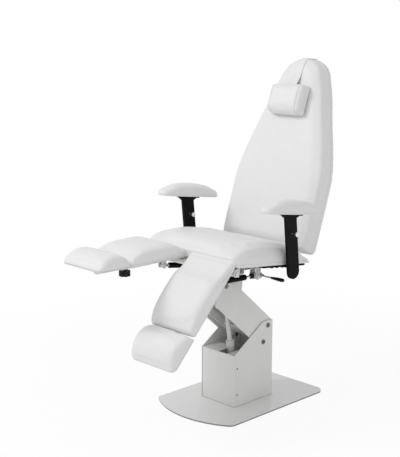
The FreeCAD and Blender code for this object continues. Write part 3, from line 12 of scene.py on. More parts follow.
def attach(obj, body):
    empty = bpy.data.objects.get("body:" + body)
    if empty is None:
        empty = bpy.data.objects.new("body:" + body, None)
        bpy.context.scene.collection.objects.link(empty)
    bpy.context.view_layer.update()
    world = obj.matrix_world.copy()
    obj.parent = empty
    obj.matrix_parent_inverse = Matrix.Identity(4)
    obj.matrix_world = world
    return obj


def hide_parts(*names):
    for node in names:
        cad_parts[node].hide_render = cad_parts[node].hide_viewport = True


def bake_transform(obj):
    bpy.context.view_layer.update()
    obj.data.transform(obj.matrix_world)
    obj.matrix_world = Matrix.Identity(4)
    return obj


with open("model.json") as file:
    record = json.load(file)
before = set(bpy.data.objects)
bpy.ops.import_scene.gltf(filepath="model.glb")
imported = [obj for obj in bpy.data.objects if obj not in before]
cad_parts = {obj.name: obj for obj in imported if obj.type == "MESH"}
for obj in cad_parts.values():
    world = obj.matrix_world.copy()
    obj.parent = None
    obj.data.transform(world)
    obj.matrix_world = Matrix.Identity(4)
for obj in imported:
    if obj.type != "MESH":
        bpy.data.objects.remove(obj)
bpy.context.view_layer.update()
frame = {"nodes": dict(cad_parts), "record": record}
scene = bpy.context.scene
nodes = frame["nodes"]
joints = {joint["name"]: joint for joint in frame["record"]["behaviour"]["joints"]}
SIDES = {"left": 1, "right": -1}


# Camera at the photograph's angle
CAMERA_SPOT = (3.057, -3.206, 1.702)
CAMERA_SWING = math.radians(45.871)
CAMERA_DIP = math.radians(11.405)
FOCAL_LENGTH = 78.0
FILM_WIDTH = 36.0


def set_camera():
    ahead = math.cos(CAMERA_DIP)
    look = Vector((-math.sin(CAMERA_SWING) * ahead, math.cos(CAMERA_SWING) * ahead, -math.sin(CAMERA_DIP)))
    lens = bpy.data.cameras.new("photo_view")
    lens.lens = FOCAL_LENGTH
    lens.sensor_width = FILM_WIDTH
    camera = bpy.data.objects.new("photo_view", lens)
    camera.location = CAMERA_SPOT
    camera.rotation_euler = look.to_track_quat("-Z", "Y").to_euler()
    scene.collection.objects.link(camera)
    scene.camera = camera


set_camera()


# Shader maths
class Value:
    """A number on its way through a finish, for plain expressions."""

    def __init__(self, finish, socket):
        self.finish = finish
        self.socket = socket

    def maths(self, operation, first, second):
        return self.finish.node("Math", {"operation": operation}, {0: first, 1: second})

    def __add__(self, other):
        return self.maths("ADD", self, other)

    def __radd__(self, other):
        return self.maths("ADD", other, self)

    def __rsub__(self, other):
        return self.maths("SUBTRACT", other, self)

    def __mul__(self, other):
        return self.maths("MULTIPLY", self, other)


class Finish:
    """A surface finish: one principled shader, its fixed values and the nodes that vary it."""

    def __init__(self, name, **fixed):
        self.material = bpy.data.materials.new(name)
        self.material.use_nodes = True
        self.tree = self.material.node_tree
        self.shader = next(node for node in self.tree.nodes if node.type == "BSDF_PRINCIPLED")
        for socket, value in fixed.items():
            self.shader.inputs[socket.replace("_", " ")].default_value = value

    def node(self, kind, settings=None, inputs=None, output=0):
        made = self.tree.nodes.new("ShaderNode" + kind)
        for key, value in (settings or {}).items():
            if key == "stops":
                ramp = made.color_ramp
                for index, (place, shade) in enumerate(value):
                    stop = ramp.elements[index] if index < 2 else ramp.elements.new(place)
                    stop.position = place
                    stop.color = (shade, shade, shade, 1)
            else:
                setattr(made, key, value)
        for key, value in (inputs or {}).items():
            if isinstance(value, Value):
                self.tree.links.new(value.socket, made.inputs[key])
            else:
                made.inputs[key].default_value = value
        return Value(self, made.outputs[output])

    def feed(self, socket, value):
        self.tree.links.new(value.socket, self.shader.inputs[socket])

    def place(self):
        return self.node("TexCoord", output="Object")

    def along(self, way):
        """How far a point lies along a direction."""
        return self.node("VectorMath", {"operation": "DOT_PRODUCT"}, {0: self.place(), 1: way}, 1)

    def noise(self, scale, detail=2.0, rough=0.5):
        inputs = {"Vector": self.place(), "Scale": scale, "Detail": detail, "Roughness": rough}
        return self.node("TexNoise", None, inputs)

    def band(self, value, low, high):
        """0 below low, 1 above high, smooth between."""
        inputs = {"Value": value, "From Min": low, "From Max": high}
        return self.node("MapRange", {"interpolation_type": "SMOOTHSTEP"}, inputs)

    def tint(self, amount, first, second):
        """A colour between two, by a value from 0 to 1."""
        return self.tint_over(amount, (*first, 1), second)

    def tint_over(self, amount, under, second):
        """A colour laid over another finish's colour."""
        return self.node("Mix", {"data_type": "RGBA"}, {0: amount, 6: under, 7: (*second, 1)}, 2)

    def bump(self, *layers):
        """Bumps laid over each other: pairs of height value and depth in metres."""
        normal = None
        for height, depth in layers:
            inputs = {"Height": height, "Distance": depth, "Strength": 1.0}
            if normal is not None:
                inputs["Normal"] = normal
            normal = self.node("Bump", None, inputs)
        self.feed("Normal", normal)


def grey(shade):
    return (shade, shade, shade)


# How far a seam's groove and its raised lip reach from its line
GROOVE_REACH = 0.0016
LIP_REACH = 0.006


def upholstery_leather():
    """White coated upholstery: fine pebble grain, soft folds, and its seams darkened by painted shade and
    soiling.
    """
    skin = Finish("white_upholstery", Specular_IOR_Level=0.42, Sheen_Weight=0.08, Sheen_Roughness=0.5)
    cells = {"Vector": skin.place(), "Scale": 620.0}
    grain = skin.node("TexVoronoi", {"feature": "DISTANCE_TO_EDGE"}, cells)
    pebble = skin.band(grain, 0.0, 0.22)
    pores = skin.noise(1500.0, 3.0)
    folds = skin.noise(9.0, 3.0, 0.45)
    tension = skin.noise(34.0, 2.0, 0.4)
    seam = skin.node("Attribute", {"attribute_name": "seam"}, output="Fac")
    groove = skin.band(seam, 0.0, GROOVE_REACH)
    lip = skin.band(seam, GROOVE_REACH, LIP_REACH)
    mottle = skin.noise(5.0, 2.0)
    colour = skin.tint(mottle, (0.795, 0.797, 0.80), (0.825, 0.826, 0.827))
    # Seams darken towards a mid grey: partly painted shade in the groove, partly soiling.
    colour = skin.tint_over((1 - groove) * 0.55, colour, (0.42, 0.42, 0.41))
    colour = skin.tint_over((1 - pebble) * 0.10, colour, (0.62, 0.62, 0.61))
    skin.feed("Base Color", colour)
    skin.feed("Roughness", 0.40 + mottle * 0.10 + (1 - pebble) * 0.10)
    dips = groove + lip * 0.5
    skin.bump((folds, 0.0042), (tension, 0.0005), (dips, 0.0010), (pebble + pores * 0.4, 0.00008))
    return skin.material


def seam_thread():
    """Twisted off-white thread."""
    thread = Finish("seam_thread", Roughness=0.62)
    strands = {"Vector": thread.place(), "Scale": 900.0, "Distortion": 1.0}
    twist = thread.node("TexWave", {"bands_direction": "DIAGONAL"}, strands)
    thread.feed("Base Color", thread.tint(twist, grey(0.60), grey(0.76)))
    thread.bump((twist, 0.0001))
    return thread.material


def powder_coat(name, dark, light, rough, shine=0.45):
    """Powder coat on sheet steel: orange peel, faint rubs and dust."""
    coat = Finish(name, Specular_IOR_Level=shine)
    peel = coat.noise(430.0, 2.0, 0.4)
    fleck = coat.noise(1400.0, 1.0)
    rubs = coat.noise(7.0, 4.0, 0.6)
    worn = coat.band(rubs, 0.45, 0.75)
    flecked = coat.band(fleck, 0.62, 0.75) * 0.25
    coat.feed("Base Color", coat.tint_over(flecked, coat.tint(worn, dark, light), light))
    coat.feed("Roughness", rough + worn * 0.08 + peel * 0.05)
    coat.bump((peel, 0.00007), (fleck, 0.00001))
    return coat.material


def folded_sheet(name, dark, light, painted_shade_places):
    """Powder coat with painted shade in places: each is a list of bands, as direction, start and end, and its
    depth.
    """
    coat = Finish(name, Specular_IOR_Level=0.45)
    rubs = coat.noise(7.0, 4.0, 0.6)
    peel = coat.noise(430.0, 2.0, 0.4)
    worn = coat.band(rubs, 0.45, 0.75)
    colour = coat.tint(worn, dark, light)
    for bands, depth in painted_shade_places:
        cover = depth
        for way, low, high in bands:
            cover = coat.band(coat.along(way), low, high) * cover
        # Painted shade: the colour goes towards near black where all of a place's bands meet.
        colour = coat.tint_over(cover, colour, grey(0.03))
    coat.feed("Base Color", colour)
    coat.feed("Roughness", 0.40 + worn * 0.08 + peel * 0.05)
    coat.bump((peel, 0.00005))
    return coat.material


def polished_plate():
    """The floor plate's smooth grey lacquer, its edges darkened all round by painted shade."""
    lacquer = Finish("plate_lacquer", Specular_IOR_Level=0.5, Coat_Weight=0.65, Coat_Roughness=0.12)
    haze = lacquer.noise(3.0, 2.0, 0.4)
    edge = lacquer.band(lacquer.along((0, 0, -1)), -0.0072, -0.0064)
    colour = lacquer.tint(haze, grey(0.77), grey(0.79))
    # The plate's side faces go dark: painted shade.
    lacquer.feed("Base Color", lacquer.tint_over(edge * 0.8, colour, grey(0.10)))
    lacquer.feed("Roughness", 0.24 + haze * 0.04)
    return lacquer.material


def black_moulding():
    """Black plastic with a fine spark-eroded grain and light scuffs."""
    plastic = Finish("black_moulding", Specular_IOR_Level=0.25)
    spark = plastic.noise(900.0, 2.0)
    scuff = plastic.band(plastic.noise(60.0, 4.0, 0.7), 0.55, 0.8)
    plastic.feed("Base Color", plastic.tint(scuff, grey(0.009), grey(0.024)))
    plastic.feed("Roughness", 0.42 + spark * 0.14)
    plastic.bump((spark, 0.00006))
    return plastic.material


def black_rubber():
    """Black rubber with a greyish bloom."""
    rubber = Finish("black_rubber", Specular_IOR_Level=0.35)
    bloom = rubber.noise(45.0, 4.0, 0.65)
    rubber.feed("Base Color", rubber.tint(rubber.band(bloom, 0.4, 0.75), grey(0.012), grey(0.040)))
    rubber.feed("Roughness", 0.58 + bloom * 0.2)
    rubber.bump((rubber.noise(700.0, 2.0), 0.00005))
    return rubber.material


def bare_metal(name, dark, light, rough, streaks):
    """Bright metal with fine turning marks along its length."""
    metal = Finish(name, Metallic=1.0)
    stretched = metal.node("Mapping", None, {"Vector": metal.place(), "Scale": streaks})
    marks = metal.node("TexNoise", None, {"Vector": stretched, "Scale": 1.0, "Detail": 3.0})
    stain = metal.band(metal.noise(40.0, 3.0), 0.4, 0.8)
    metal.feed("Base Color", metal.tint(stain, light, dark))
    metal.feed("Roughness", rough + marks * 0.12)
    metal.bump((marks, 0.00002))
    return metal.material


def lining_board():
    """Board covered with black woven lining."""
    board = Finish("lining_board", Specular_IOR_Level=0.3, Sheen_Weight=0.15)
    threads = {"Vector": board.place(), "Scale": 320.0}
    over = board.node("TexWave", {"bands_direction": "X"}, threads)
    under = board.node("TexWave", {"bands_direction": "Y"}, threads)
    weave = over * under
    board.feed("Base Color", board.tint(weave, grey(0.016), grey(0.05)))
    board.feed("Roughness", 0.78 + weave * 0.1)
    board.bump((weave, 0.0002))
    return board.material


leather = upholstery_leather()
thread = seam_thread()
COAT_DARK, COAT_LIGHT = (0.755, 0.755, 0.74), (0.78, 0.78, 0.765)
grey_coat = powder_coat("grey_powder_coat", COAT_DARK, COAT_LIGHT, 0.40)
# Painted shade on the column's sheets: in its hollow, a painted shadow along its foot, and painted shade in
# its far front seam
HOLLOW_PAINTED_SHADE = [((1, 0, 0), -0.1030, -0.1025), ((-1, 0, 0), -0.1030, -0.1025),
          ((0, 1, 0), -0.1240, -0.1232), ((0, -1, 0), 0.0200, 0.0240),
          ((0, 0, -1), -0.2445, -0.2435)]
FOOT_PAINTED_SHADOW = [((0, 0, -1), -0.0098, -0.0088)]
FAR_EDGE_PAINTED_SHADE = [((-1, 0, 0), 0.1012, 0.1016), ((0, -1, 0), 0.1232, 0.1240)]
COLUMN_PAINTED_SHADE = [(HOLLOW_PAINTED_SHADE, 1.0), (FOOT_PAINTED_SHADOW, 0.75), (FAR_EDGE_PAINTED_SHADE, 0.8)]
# The column's coat carries these bands of painted shade.
column_coat = folded_sheet("column_powder_coat", COAT_DARK, COAT_LIGHT, COLUMN_PAINTED_SHADE)
# A darker copy of the grey coat, used inside the lift arm: painted shade.
inner_shade_coat = powder_coat("inner_powder_coat_painted_shade", (0.36, 0.36, 0.35), (0.39, 0.39, 0.38), 0.45)
plate_coat = polished_plate()
black_coat = powder_coat("black_powder_coat", grey(0.004), grey(0.008), 0.45, shine=0.08)
housing_coat = powder_coat("housing_coat", grey(0.66), grey(0.70), 0.36)
bolt_coat = powder_coat("bolt_coat", grey(0.19), grey(0.26), 0.35)
moulding = black_moulding()
rubber = black_rubber()
zinc = bare_metal("zinc_plate", grey(0.42), grey(0.62), 0.28, (90.0, 90.0, 260.0))
chrome = bare_metal("chrome_plate", grey(0.66), grey(0.80), 0.09, (40.0, 40.0, 40.0))
nickel = bare_metal("satin_nickel", grey(0.70), grey(0.84), 0.30, (600.0, 30.0, 30.0))
lining = lining_board()


# Rest frames, read from the joints
def placed(joint, degrees):
    spot = joints[joint]["pos_m"]
    return Matrix.Translation(spot) @ Matrix.Rotation(math.radians(degrees), 4, "X")


def tilt_up(joint):
    """The turn about X that brings +Z onto a slide's axis."""
    axis = joints[joint]["axis"]
    return math.degrees(math.atan2(-axis[1], axis[2]))


def tilt_ahead(joint):
    """The turn about X that brings -Y onto a slide's axis."""
    axis = joints[joint]["axis"]
    return math.degrees(math.atan2(-axis[2], -axis[1]))


SEAT_TILT = -6.5
seat_place = placed("head_level", SEAT_TILT)
back_place = placed("recline", tilt_up("head_cushion_height"))
leg_place = {side: placed(f"leg_{side}_angle", tilt_ahead(f"foot_{side}_reach")) for side in SIDES}
spring_place = {side: placed(f"leg_spring_{side}_tilt", tilt_ahead(f"leg_spring_{side}_stroke"))
                for side in SIDES}
armrest_place = {side: placed(f"armrest_{side}_swing", tilt_up(f"armrest_{side}_height")) for side in SIDES}


# Making pieces
def new_piece(name, mesh_work, material, body, place=None, smooth=35):
    """A finished piece from a bmesh drawn in its own frame."""
    if place is not None:
        bmesh.ops.transform(mesh_work, matrix=place, verts=mesh_work.verts)
    mesh = bpy.data.meshes.new(name)
    mesh_work.to_mesh(mesh)
    mesh_work.free()
    piece = bpy.data.objects.new(name, mesh)
    scene.collection.objects.link(piece)
    mesh.materials.append(material)
    mesh.shade_smooth()
    if smooth:
        mesh.set_sharp_from_angle(angle=math.radians(smooth))
    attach(piece, body)
    return piece


def closed(work):
    """Merges doubles and turns the faces outwards."""
    bmesh.ops.remove_doubles(work, verts=work.verts, dist=1e-6)
    bmesh.ops.recalc_face_normals(work, faces=work.faces)
    return work


def turned(profile, steps=32):
    """A turned piece: pairs of distance along +X and radius, from its start to its end."""
    work = bmesh.new()
    line = [work.verts.new((along, 0, radius)) for along, radius in profile]
    edges = [work.edges.new(pair) for pair in zip(line, line[1:])]
    bmesh.ops.spin(work, geom=line + edges, cent=(0, 0, 0), axis=(1, 0, 0), angle=2 * math.pi, steps=steps,
                   use_merge=True)
    return closed(work)


def joined(*works):
    """Several bmeshes as one."""
    whole = bmesh.new()
    for work in works:
        passing = bpy.data.meshes.new("passing")
        work.to_mesh(passing)
        work.free()
        whole.from_mesh(passing)
        bpy.data.meshes.remove(passing)
    return whole


def moved(work, matrix):
    """A bmesh moved to its place, with its faces outwards also where the place mirrors it."""
    bmesh.ops.transform(work, matrix=matrix, verts=work.verts)
    if matrix.determinant() < 0:
        bmesh.ops.reverse_faces(work, faces=work.faces)
    return work


def rounded(work, edges, round_by, segments=2):
    bmesh.ops.bevel(work, geom=edges, offset=round_by, offset_type="OFFSET", segments=segments, profile=0.5,
                    affect="EDGES", material=-1)
    return work


def block(low, high, round_by, segments=2):
    """A box with rounded edges between two corners."""
    work = bmesh.new()
    bmesh.ops.create_cube(work, size=1.0)
    low, high = Vector(low), Vector(high)
    middle = (low + high) / 2
    span = Matrix.Diagonal((*(high - low), 1))
    bmesh.ops.transform(work, matrix=Matrix.Translation(middle) @ span, verts=work.verts)
    return rounded(work, work.edges[:], round_by, segments)


def smoothed(work, verts, rounds):
    for _ in range(rounds):
        bmesh.ops.smooth_vert(work, verts=verts, factor=0.5,
                              use_axis_x=True, use_axis_y=True, use_axis_z=True)


def subdivided(piece):
    finer = piece.modifiers.new("finer", "SUBSURF")
    finer.levels = 1
    finer.render_levels = 1


# Rigid pieces of the frame keep their shape and get worn edges
EDGE_ANGLE = math.radians(40)


def dress(material, *names, edge=0.0008):
    """Gives CAD pieces a finish, and rounds their edges unless edge is 0."""
    for name in names:
        node = nodes[name]
        node.data.materials.clear()
        node.data.materials.append(material)
        if not edge:
            continue
        weld = node.modifiers.new("weld", "WELD")
        weld.merge_threshold = 1e-5
        soften = node.modifiers.new("soften", "BEVEL")
        soften.width = edge
        soften.segments = 2
        soften.limit_method = "ANGLE"
        soften.angle_limit = EDGE_ANGLE
        soften.use_clamp_overlap = True
        flat = node.modifiers.new("flat", "WEIGHTED_NORMAL")
        flat.mode = "FACE_AREA"
        flat.weight = 100


dress(plate_coat, "base_plate", edge=0.0015)
dress(column_coat, "column_side_left", "column_side_right", "column_front_cover", "column_rear_cover", edge=0)
dress(grey_coat, "actuator_foot", "lift_arm_side_left", "lift_arm_side_right", "lower_link", "head_bracket",
      "seat_frame", "seat_frame_lugs", "back_frame")
# The lift arm's web and ears take the darker copy of the grey coat as painted shade.
dress(inner_shade_coat, "lift_arm_web", "lift_arm_ears")
dress(bolt_coat, "lift_arm_head_shaft")
dress(zinc, "head_link_shaft", "seat_hinge_pins", "back_spring_rod")
dress(housing_coat, "actuator_rod")
dress(housing_coat, "actuator_body", edge=0.0015)
dress(lining, "seat_board", "back_board")
dress(black_coat, "armrest_bracket_left", "armrest_bracket_right", "back_spring_cylinder")
for side in SIDES:
    dress(grey_coat, f"leg_frame_{side}", f"foot_slide_{side}")
    dress(black_coat, f"leg_spring_cylinder_{side}", f"armrest_bar_{side}", f"armrest_sleeve_{side}",
          edge=0.0012)
    dress(zinc, f"leg_spring_fitting_{side}", f"release_lever_{side}")
    dress(moulding, f"foot_knob_{side}", edge=0.0015)


# Upholstery
FIT_PLAY = 0.0004
FULL_LIFT = 0.03
# How many mesh cells above its frame a cover is free, and up to where it's held
FREE_CELLS, HELD_CELLS = 1.2, 1.5
FREE_LIFT = 0.004
LAST_ROUNDS = 3
CLOTH_STEPS = 20
CLOTH = {"quality": 4, "mass": 0.3, "tension_stiffness": 12, "compression_stiffness": 12,
         "shear_stiffness": 4, "bending_stiffness": 1.0, "use_pressure": True, "uniform_pressure_force": 4.0,
         "vertex_group_mass": "held"}
# The share of the swelling that counts as full, its range, and how it's evened out over neighbours
FULL_QUANTILE = 0.7
SWELL_LOW, SWELL_HIGH = -0.4, 1.25
EVENING_ROUNDS = 14
EVENING_SHARE = 0.6


class Pad:
    """A padded cover that grows from a CAD pad and rests on one side of it."""

    def __init__(self, node, name, body, place, cell, soften, give, rest):
        self.node = node
        self.name = name
        self.body = body
        self.place = place
        self.rest = rest
        self.give = give
        work = bmesh.new()
        work.from_mesh(nodes[node].data)
        bmesh.ops.remove_doubles(work, verts=work.verts, dist=1e-5)
        bmesh.ops.transform(work, matrix=place.inverted(), verts=work.verts)
        rough = bpy.data.meshes.new(name + "_rough")
        work.to_mesh(rough)
        work.free()
        self.piece = bpy.data.objects.new(name, rough)
        scene.collection.objects.link(self.piece)
        evener = self.piece.modifiers.new("evener", "REMESH")
        evener.mode = "VOXEL"
        evener.voxel_size = cell
        self.settle()
        work = bmesh.new()
        work.from_mesh(self.piece.data)
        free = [v for v in work.verts if self.lift(v.co) > cell * FREE_CELLS]
        low = [v for v in work.verts if self.lift(v.co) <= cell * FREE_CELLS]
        smoothed(work, free, soften)
        smoothed(work, low, LAST_ROUNDS)
        work.normal_update()
        for v in free:
            v.co -= v.normal * give * self.ramp(v.co)
        work.to_mesh(self.piece.data)
        work.free()
        held = self.piece.vertex_groups.new(name="held")
        for v in self.piece.data.vertices:
            held.add([v.index], 1.0 if self.lift(v.co) < cell * HELD_CELLS else 0.0, "REPLACE")
        self.start = [v.co.copy() for v in self.piece.data.vertices]
        cloth = self.piece.modifiers.new("filling", "CLOTH")
        for key, value in CLOTH.items():
            setattr(cloth.settings, key, value)
        cloth.settings.effector_weights.gravity = 0.0
        cloth.collision_settings.use_collision = False
        cloth.point_cache.frame_start = 1
        cloth.point_cache.frame_end = CLOTH_STEPS

    def ramp(self, spot):
        """0 on the frame, 1 from FULL_LIFT above it."""
        return max(0.0, min(1.0, self.lift(spot) / FULL_LIFT))

    def lift(self, spot):
        """Height of a point above the side that rests on the frame."""
        axis, level, way = self.rest
        return (spot[axis] - level) * way

    def settle(self):
        """Applies the modifiers to the mesh."""
        bpy.context.view_layer.update()
        shaped = self.piece.evaluated_get(bpy.context.evaluated_depsgraph_get())
        mesh = bpy.data.meshes.new_from_object(shaped)
        self.piece.modifiers.clear()
        self.piece.data = mesh

    def swelling(self):
        """How far the filling pushes each point out of the cover, evened out over its neighbours."""
        count = len(self.start)
        work = bmesh.new()
        work.from_mesh(self.piece.data)
        work.normal_update()
        outwards = [v.normal.copy() for v in work.verts]
        pairs = numpy.array([[v.index for v in e.verts] for e in work.edges])
        work.free()
        self.settle()
        ends = [v.co for v in self.piece.data.vertices]
        moves = zip(self.start, ends, outwards)
        pushed = numpy.array([(there - here).dot(way) for here, there, way in moves])
        most = numpy.quantile(pushed, FULL_QUANTILE)
        pushed = numpy.clip(pushed / max(most, 1e-5), SWELL_LOW, SWELL_HIGH)
        one, two = pairs[:, 0], pairs[:, 1]
        beside = numpy.bincount(pairs.ravel(), minlength=count)
        for _ in range(EVENING_ROUNDS):
            around = numpy.bincount(one, pushed[two], count) + numpy.bincount(two, pushed[one], count)
            pushed = (1 - EVENING_SHARE) * pushed + EVENING_SHARE * around / beside
        return pushed * self.give * numpy.array([self.ramp(spot) for spot in self.start])

    def fit(self, work):
        """Stretches the cover to the reach of the solid that it stands for."""
        inwards = self.place.inverted()
        solid = [inwards @ v.co for v in nodes[self.node].data.vertices]
        for axis in range(3):
            low = min(p[axis] for p in solid) + FIT_PLAY
            high = max(p[axis] for p in solid) - FIT_PLAY
            begin = min(v.co[axis] for v in work.verts)
            end = max(v.co[axis] for v in work.verts)
            for v in work.verts:
                v.co[axis] = low + (v.co[axis] - begin) * (high - low) / (end - begin)

    def filled(self, finish_shape=None, *, seams, fill=0.8):
        """Takes the swelling up to its give, lays the seams and hands the piece over."""
        pushed = self.swelling()
        work = bmesh.new()
        work.from_mesh(self.piece.data)
        for v, begin in zip(work.verts, self.start):
            v.co = begin
        work.normal_update()
        for v, out in zip(work.verts, pushed):
            v.co += v.normal * out
        smoothed(work, [v for v in work.verts if self.lift(v.co) > FREE_LIFT], LAST_ROUNDS)
        self.fit(work)
        if finish_shape:
            work.normal_update()
            for v in work.verts:
                finish_shape(v)
        work.normal_update()
        self.surface = BVHTree.FromBMesh(work)
        layer = work.verts.layers.float.new("seam")
        for v in work.verts:
            v[layer] = min(abs((v.co - Vector(spot)).dot(Vector(way).normalized())) for spot, way in seams)
        stitches = [seam_stitches(work, spot, way) for spot, way in seams]
        bmesh.ops.transform(work, matrix=self.place, verts=work.verts)
        work.to_mesh(self.piece.data)
        work.free()
        self.piece.data.materials.clear()
        self.piece.data.materials.append(leather)
        self.piece.data.shade_smooth()
        subdivided(self.piece)
        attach(self.piece, self.body)
        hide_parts(self.node)
        new_piece(self.name + "_stitching", joined(*stitches), thread, self.body, self.place,
                  smooth=0)


def seam_loop(work, spot, way):
    """Where a plane cuts a closed surface: an ordered ring of points with their normals."""
    cutting = work.copy()
    everything = cutting.verts[:] + cutting.edges[:] + cutting.faces[:]
    made = bmesh.ops.bisect_plane(cutting, geom=everything, plane_co=spot, plane_no=way)
    cutting.normal_update()
    cut_edges = {e for e in made["geom_cut"] if isinstance(e, bmesh.types.BMEdge)}
    # A start that is the same in every run: the edge, and its end, furthest along -X
    edge = min(cut_edges, key=lambda e: tuple(e.verts[0].co + e.verts[1].co))
    here = min(edge.verts, key=lambda v: tuple(v.co))
    ring = []
    while edge:
        cut_edges.discard(edge)
        ring.append((here.co.copy(), here.normal.copy()))
        here = edge.other_vert(here)
        edge = next((e for e in here.link_edges if e in cut_edges), None)
    ring.append((here.co.copy(), here.normal.copy()))
    cutting.free()
    return ring


STITCH_PITCH = 0.0055
STITCH_LENGTH = 0.0038
STITCH_RADIUS = 0.00045
STITCH_ASIDE = 0.0035


def seam_stitches(work, spot, way):
    """A row of top stitches beside a seam."""
    way = Vector(way).normalized()
    ring = seam_loop(work, Vector(spot) + way * STITCH_ASIDE, way)
    rows = bmesh.new()
    run = STITCH_PITCH / 2
    for (here, normal), (there, _) in zip(ring, ring[1:]):
        step = there - here
        length = step.length
        while run < length and length > 1e-7:
            centre = here + step * (run / length) + normal * STITCH_RADIUS * 0.5
            turn = step.to_track_quat("Z", "Y").to_matrix().to_4x4()
            bmesh.ops.create_cone(rows, cap_ends=True, segments=5, radius1=STITCH_RADIUS,
                                  radius2=STITCH_RADIUS, depth=STITCH_LENGTH,
                                  matrix=Matrix.Translation(centre) @ turn)
            run += STITCH_PITCH
        run -= length
    return rows


# Where each kind of pad rests on its frame, in its own axes
SEAT_REST = 0.125
BACK_REST = 0.0135
PILLOW_REST = -0.0755
LEG_REST = 0.039
ARMREST_FLANGE = 0.0052
ARMREST_SLOPE = math.radians(-13.4)
ARMREST_TOP = 0.254

# Each pad: solid, cover, body, place, mesh size, rounds of softening, give and where it rests
pads = {}
pads["seat"] = Pad("seat_cushion", "seat_cover", "seat", seat_place, 0.0065, 75, 0.007, (2, SEAT_REST, 1))
pads["back"] = Pad("back_cushion", "back_cover", "back", back_place, 0.0065, 60, 0.007, (1, BACK_REST, -1))
pads["pillow"] = Pad("head_cushion", "pillow_cover", "head_cushion", back_place, 0.004, 26, 0.005,
                     (1, PILLOW_REST, -1))
for side in SIDES:
    pads["calf_" + side] = Pad(f"calf_pad_{side}", f"calf_cover_{side}", "leg_" + side, leg_place[side],
                               0.0055, 28, 0.005, (2, LEG_REST, 1))
    pads["foot_" + side] = Pad(f"foot_pad_{side}", f"foot_cover_{side}", "foot_" + side, leg_place[side],
                               0.0050, 24, 0.005, (2, LEG_REST, 1))
for side in SIDES:
    top = Matrix.Translation((0, 0, ARMREST_TOP)) @ Matrix.Rotation(ARMREST_SLOPE, 4, "X")
    pads["arm_" + side] = Pad(f"armrest_pad_{side}", f"armrest_cover_{side}", "armrest_sleeve_" + side,
                              armrest_place[side] @ top, 0.0042, 14, 0.004, (2, ARMREST_FLANGE, 1))

for step in range(1, CLOTH_STEPS + 1):
    scene.frame_set(step)


def seam_above(level, axis=2, way=1):
    """The seam plane round a pad at a level along one axis."""
    spot = [0.0, 0.0, 0.0]
    spot[axis] = level
    normal = [0.0, 0.0, 0.0]
    normal[axis] = float(way)
    return (tuple(spot), tuple(normal))


# The boards behind and under the cushions, and the crown that the cover makes over the back's top
BACK_BOARD_DEPTH = 0.012
SEAT_BOARD_DEPTH = 0.008
BACK_WRAP = (0.001, 0.0084)
SEAT_WRAP = (0.0, 0.003)
WRAP_BAND = 0.02
CROWN_START, CROWN_END = 0.66, 0.918
CROWN_RISE = 0.021


def smooth_share(value, low, high):
    """0 below low, 1 above high, smooth between."""
    share = max(0.0, min(1.0, (value - low) / (high - low)))
    return share * share * (3 - 2 * share)


def board_shape(node, place):
    """A board as a shape to measure from, in its cushion's own frame."""
    work = bmesh.new()
    work.from_mesh(nodes[node].data)
    bmesh.ops.transform(work, matrix=place.inverted(), verts=work.verts)
    shape = BVHTree.FromBMesh(work)
    work.free()
    return shape


back_shape = board_shape("back_board", back_place)
seat_shape = board_shape("seat_board", seat_place)


def outside(shape, spot):
    """How far a point lies outside a board's edge."""
    nearest, normal, _, distance = shape.find_nearest(spot)
    return distance if (spot - nearest).dot(normal) > 0 else 0.0


def round_back_board(v):
    """The cover goes on round the edge of the board behind the padding, and stands up at its top."""
    v.co.z += CROWN_RISE * smooth_share(v.co.z, CROWN_START, CROWN_END)
    band = BACK_REST - WRAP_BAND
    if v.co.y > band:
        beside = outside(back_shape, Vector((v.co.x, BACK_REST + BACK_BOARD_DEPTH / 2, v.co.z)))
        share = smooth_share(beside, *BACK_WRAP) * smooth_share(v.co.y, band, BACK_REST)
        v.co.y += BACK_BOARD_DEPTH * share


def round_seat_board(v):
    """The cover goes down round the edge of the board under the padding."""
    band = SEAT_REST + WRAP_BAND
    if v.co.z < band:
        beside = outside(seat_shape, Vector((v.co.x, v.co.y, SEAT_REST - SEAT_BOARD_DEPTH / 2)))
        share = smooth_share(beside, *SEAT_WRAP) * smooth_share(band - v.co.z, 0.0, WRAP_BAND)
        v.co.z -= SEAT_BOARD_DEPTH * share


FOOT_END = -0.508
CALF_END = -0.338
PAD_HALF = 0.1365
FOOT_CORNER = 0.036
CALF_CORNER = 0.6 * FOOT_CORNER
PILLOW_SEAM = 0.080
LOW_SEAM = 0.005


def rounded_end(end, corner):
    """Rounds the two outer corners of a leg's pad, seen from above."""
    def pulled(v):
        aside = abs(v.co.x) - (PAD_HALF - corner)
        beyond = (end + corner) - v.co.y
        if aside > 0 and beyond > 0:
            reach = math.hypot(aside, beyond)
            if reach > corner:
                way = 1 if v.co.x > 0 else -1
                v.co.x = way * (PAD_HALF - corner + aside * corner / reach)
                v.co.y = end + corner - beyond * corner / reach
    return pulled


pads["seat"].filled(round_seat_board, seams=[seam_above(SEAT_REST + 0.004)], fill=0.85)
pads["back"].filled(round_back_board, seams=[seam_above(BACK_REST - 0.004, 1, -1)], fill=0.85)
pads["pillow"].filled(seams=[seam_above(PILLOW_SEAM, 0, -1), seam_above(-PILLOW_SEAM, 0, 1)])
for side in SIDES:
    leg_seam = seam_above(LEG_REST + LOW_SEAM)
    pads["calf_" + side].filled(rounded_end(CALF_END, CALF_CORNER), seams=[leg_seam])
    pads["foot_" + side].filled(rounded_end(FOOT_END, FOOT_CORNER), seams=[leg_seam])
    pads["arm_" + side].filled(seams=[seam_above(ARMREST_FLANGE + LOW_SEAM)])


